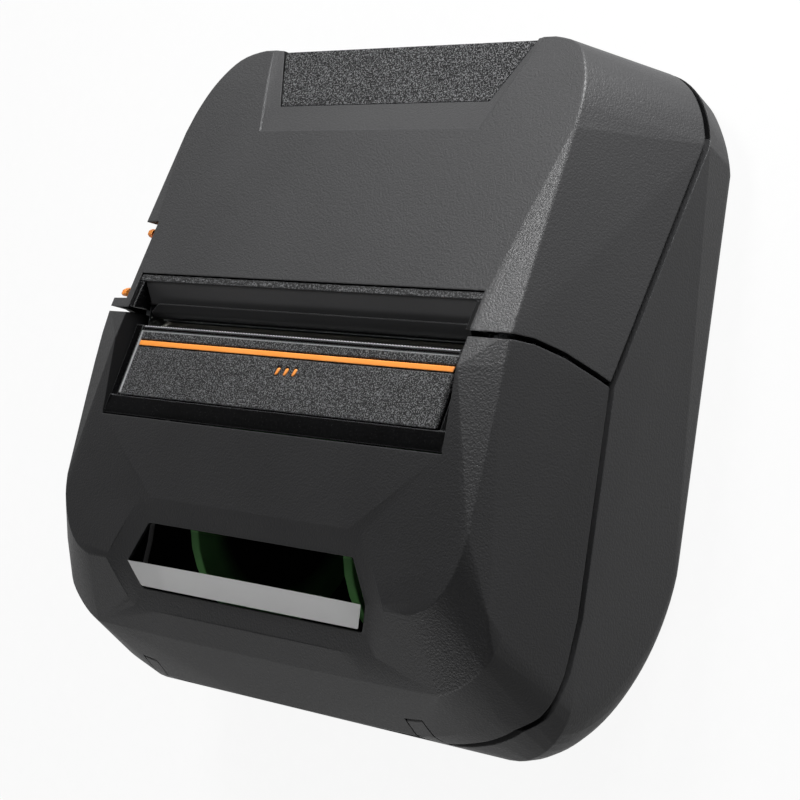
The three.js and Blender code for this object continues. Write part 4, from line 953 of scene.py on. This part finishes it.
def cleaned(piece):
    """Merges corners closer than 4 micrometres and faces that lie in one plane."""
    mesh = bmesh.new()
    mesh.from_mesh(piece.data)
    bmesh.ops.remove_doubles(mesh, verts=mesh.verts, dist=0.004)
    bmesh.ops.dissolve_degenerate(mesh, dist=0.004, edges=mesh.edges)
    bmesh.ops.dissolve_limit(mesh, angle_limit=math.radians(0.3), verts=mesh.verts, edges=mesh.edges)
    mesh.to_mesh(piece.data)
    mesh.free()


def keep_sharp(piece, angle):
    """Smooth shading that stops at edges sharper than the angle."""
    mesh = bmesh.new()
    mesh.from_mesh(piece.data)
    for face in mesh.faces:
        face.smooth = True
    for edge in mesh.edges:
        edge.smooth = len(edge.link_faces) == 2 and edge.calc_face_angle(0) < math.radians(angle)
    mesh.to_mesh(piece.data)
    mesh.free()


def place(piece, name, body, slot, finish, *nodes, edge=0.0, sharp=30, inner=None):
    """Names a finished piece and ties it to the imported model."""
    cleaned(piece)
    deep = []
    for face in piece.data.polygons if inner else ():
        depth = SKIN.find_nearest(face.center)[3]
        # A shell's inside, painted black as painted shade: deep under the form, but not the flat back or a
        # shallow pocket's floor
        if depth > 1.05 and face.center.z > 2 and not (face.normal.z > 0.3 and depth < 2.2):
            deep.append(face.index)
    into_model(piece)
    keep_sharp(piece, sharp)
    piece.name = name
    piece.data.materials.clear()
    piece.data.materials.append(FINISH[finish])
    if inner:
        piece.data.materials.append(FINISH[inner])
    for index in deep:
        piece.data.polygons[index].material_index = 1
    if edge:
        soften(piece, edge)
    else:
        flat = piece.modifiers.new("shade", "WEIGHTED_NORMAL")
        flat.keep_sharp = True
    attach(piece, body)
    if nodes:
        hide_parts(*nodes)
    return piece


def soften(piece, width):
    """Small rounded edges, with shading that keeps the faces flat."""
    ease = piece.modifiers.new("edge", "BEVEL")
    ease.width = width / 1000
    ease.segments = 2
    ease.limit_method = "ANGLE"
    ease.angle_limit = math.radians(35)
    piece.modifiers.new("shade", "WEIGHTED_NORMAL")


def dress(finish, width, *names):
    """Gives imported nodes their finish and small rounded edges."""
    for name in names:
        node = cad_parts[name]
        node.data.materials.clear()
        node.data.materials.append(FINISH[finish])
        for face in node.data.polygons:
            face.use_smooth = True
        for shading in ("custom_normal", "sharp_edge"):
            if shading in node.data.attributes:
                node.data.attributes.remove(node.data.attributes[shading])
        weld = node.modifiers.new("weld", "WELD")
        weld.merge_threshold = 1e-6
        soften(node, width)


dress("sparkle_abs", 0.35, "battery_latch", "power_button", "feed_button", "wireless_button")
dress("plate_abs", 0.3, "peel_plate")
dress("gloss_abs", 0.3, "plate_frame", "control_panel", "guide_tray", "lid_switch", "media_sensor",
      "power_socket")
dress("casing_abs", 1.0, "battery_pack")
dress("orange_abs", 0.12, "accent_stripe")
dress("orange_abs", 0.45, "accent_mark_1", "accent_mark_2", "accent_mark_3")
dress("green_abs", 0.4, "right_guide", "left_guide")
dress("platen_rubber", 0.2, "platen_roller")
dress("flap_rubber", 0.3, "port_flap")
dress("nylon", 0.12, "platen_gear", "idler_gear", "lock_shaft")
dress("smooth_abs", 0.12, "guide_pinion")
dress("alumina", 0.1, "print_head")
dress("solder_mask", 0.1, "main_board", "wireless_board", "socket_board")
dress("lens", 0.3, "status_lens_left", "status_lens_right")
dress("sheet_steel", 0.15, "hinge_shaft", "chassis", "stepper_motor", "platen_shaft", "data_socket",
      "head_spring_left", "head_spring_right", "lock_spring",
      "case_screw_1", "case_screw_2", "case_screw_3", "case_screw_4")
dress("aluminium", 0.2, "heat_sink")
dress("brass", 0.1, "platen_bush_right", "platen_bush_left", "motor_pinion", "battery_contacts",
      "antenna_loop")

place(rear_casing(), "rear_casing_shell", "casing", "casing_plastic", "casing_abs", "rear_casing",
      inner="shaded_inner_abs")
place(upper_cover(), "upper_cover_shell", "casing", "cover_plastic", "cover_abs", "upper_cover",
      inner="shaded_inner_abs")
place(slot_lip(), "slot_lip_insert", "casing", "cover_plastic", "smooth_abs", edge=0.25)
place(slot_band(), "slot_band", "casing", "grained_plastic", "band_abs", edge=0.15)
for side, label in ((-1, "left"), (1, "right")):
    place(slot_rim(side), f"slot_rim_{label}", "casing", "gloss_black", "gloss_abs", edge=0.15)
place(grip_pad(), "grip_pad", "casing", "grained_plastic", "sparkle_abs", "grip_strip", edge=0.2)
place(tear_rail(), "tear_rail", "casing", "steel", "rail_black", "tear_bar", edge=0.25)
place(lever_blade(), "lever_blade", "lever", "orange_accent", "orange_abs", "release_lever", edge=0.5)
place(roll_cover(), "roll_cover_shell", "roll_lid", "cover_plastic", "shaded_lid_abs", "roll_cover",
      inner="shaded_inner_abs")
place(plate_edge(), "plate_edge", "roll_lid", "grained_plastic", "pale_bead_abs")
place(plate_groove(), "plate_groove", "roll_lid", "gloss_black", "gloss_abs")
place(saw_edge(), "plate_saw", "roll_lid", "steel", "bright_steel")
window = place(window_pane(), "window_pane", "roll_lid", "window", "pane", "cover_window", edge=0.2,
               sharp=14)
bpy.data.objects.remove(OUTSIDE)

# The pane's facet below the crease gets the pale painted reflection
window.data.materials.append(FINISH["painted_reflection_pane"])
for face in window.data.polygons:
    if face.center.y * 1000 - ALONG < BEZEL[1][1] and face.normal.z > 0.5:
        face.material_index = 1


# Camera, light and floor

# Fitted to the photo's edges: lens, place and turn; the rows are the view's right, down and depth
camera = bpy.data.objects.new("camera", bpy.data.cameras.new("camera"))
bpy.context.scene.collection.objects.link(camera)
bpy.context.scene.camera = camera
camera.data.sensor_width = 36
camera.data.lens = 111.73
camera.data.clip_start, camera.data.clip_end = 0.01, 20
view = Matrix(((0.6852, 0.1442, -0.7140), (0.0692, -0.9887, -0.1332), (-0.7251, 0.0419, -0.6874)))
camera.location = (0.4383, -0.0288 + ALONG / 1000, 0.4394)
camera.rotation_mode = "QUATERNION"
camera.rotation_quaternion = (view.transposed() @ Matrix.Diagonal((1, -1, -1))).to_quaternion()


def softbox(name, at, size, power):
    """Soft lamp that faces the printer's middle, with sizes in metres and power in watts."""
    lamp = bpy.data.lights.new(name, "AREA")
    lamp.shape = "RECTANGLE"
    lamp.size, lamp.size_y = size
    lamp.energy = power
    box = bpy.data.objects.new(name, lamp)
    bpy.context.scene.collection.objects.link(box)
    box.location = at
    box.rotation_mode = "QUATERNION"
    box.rotation_quaternion = (Vector((0, 0, 0.03)) - box.location).to_track_quat("-Z", "Y")


# Sheens on the front, the right side and the top rim, then soft fill from the foot end and the left
softbox("key_front", (-0.214, 0.371, 0.288), (0.32, 0.26), 0.28)
softbox("key_side", (0.2, 0.36, 0.1), (0.2, 0.15), 2.6)
softbox("key_bevel", (-0.06, 0.34, 0.5), (0.14, 0.14), 1.8)
softbox("fill_foot", (-0.2, -0.95, 0.4), (0.6, 0.4), 2.6)
softbox("fill_left", (-0.65, -0.65, 0.5), (0.5, 0.4), 0.3)

world = bpy.data.worlds.new("studio")
bpy.context.scene.world = world
world.use_nodes = True
world.node_tree.nodes.clear()
seen, ray = looked_at(world)
# White walls round the horizon and a dim ceiling, seen directly, in gloss and through the pane
way = put(world, "ShaderNodeSeparateXYZ", links={0: put(world, "ShaderNodeTexCoord").outputs["Generated"]})
wall = put(world, "ShaderNodeMapRange", stretch(1.0, 0.16, 0.12, 0.6), {"Value": way.outputs["Z"]})
# Half as bright in gloss
dim = put(world, "ShaderNodeMath", {"operation": "MULTIPLY_ADD", 1: -0.5, 2: 1.0},
          {0: ray.outputs["Is Glossy Ray"]})
wall = put(world, "ShaderNodeMath", {"operation": "MULTIPLY"}, {0: wall.outputs[0], 1: dim.outputs[0]})
room = put(world, "ShaderNodeBackground", {"Color": colour("#ffffff"), "Strength": 0.05})
white = put(world, "ShaderNodeBackground", {"Color": colour("#fbfbfb")}, {"Strength": wall.outputs[0]})
sky = put(world, "ShaderNodeMixShader", links={0: seen, 1: room.outputs[0], 2: white.outputs[0]})
put(world, "ShaderNodeOutputWorld", links={"Surface": sky.outputs[0]})

floor_mesh = bmesh.new()
bmesh.ops.create_circle(floor_mesh, cap_ends=True, radius=3.0, segments=96)
floor = as_piece(floor_mesh, "floor")
# White studio paper: it glows where it is looked at, and keeps the printer's shadow
paper = blank("white_paper_floor")
spot = put(paper, "ShaderNodeTexCoord")
fibre = put(paper, "ShaderNodeTexNoise", {"Scale": per(4), "Detail": 3.0}, {"Vector": spot.outputs["Object"]})
sheet = put(paper, "ShaderNodeBsdfDiffuse", {"Color": colour("#484848")})
seen, ray = looked_at(paper)
dim = put(paper, "ShaderNodeMath", {"operation": "MULTIPLY_ADD", 1: -0.42, 2: 0.93},
          {0: ray.outputs["Is Glossy Ray"]})
white = put(paper, "ShaderNodeMix",
            {"data_type": "RGBA", ONE: colour("#fdfdfd"), OTHER: colour("#ffffff")}, {0: fibre.outputs[0]})
glow = put(paper, "ShaderNodeEmission", links={"Color": white.outputs[MIXED], "Strength": dim.outputs[0]})
both = put(paper, "ShaderNodeAddShader", links={0: sheet.outputs[0], 1: glow.outputs[0]})
ground = put(paper, "ShaderNodeMixShader", links={0: seen, 1: sheet.outputs[0], 2: both.outputs[0]})
put(paper, "ShaderNodeOutputMaterial", links={"Surface": ground.outputs[0]})
floor.data.materials.append(paper)

bpy.context.scene.view_settings.view_transform = "Standard"

bpy.context.view_layer.update()
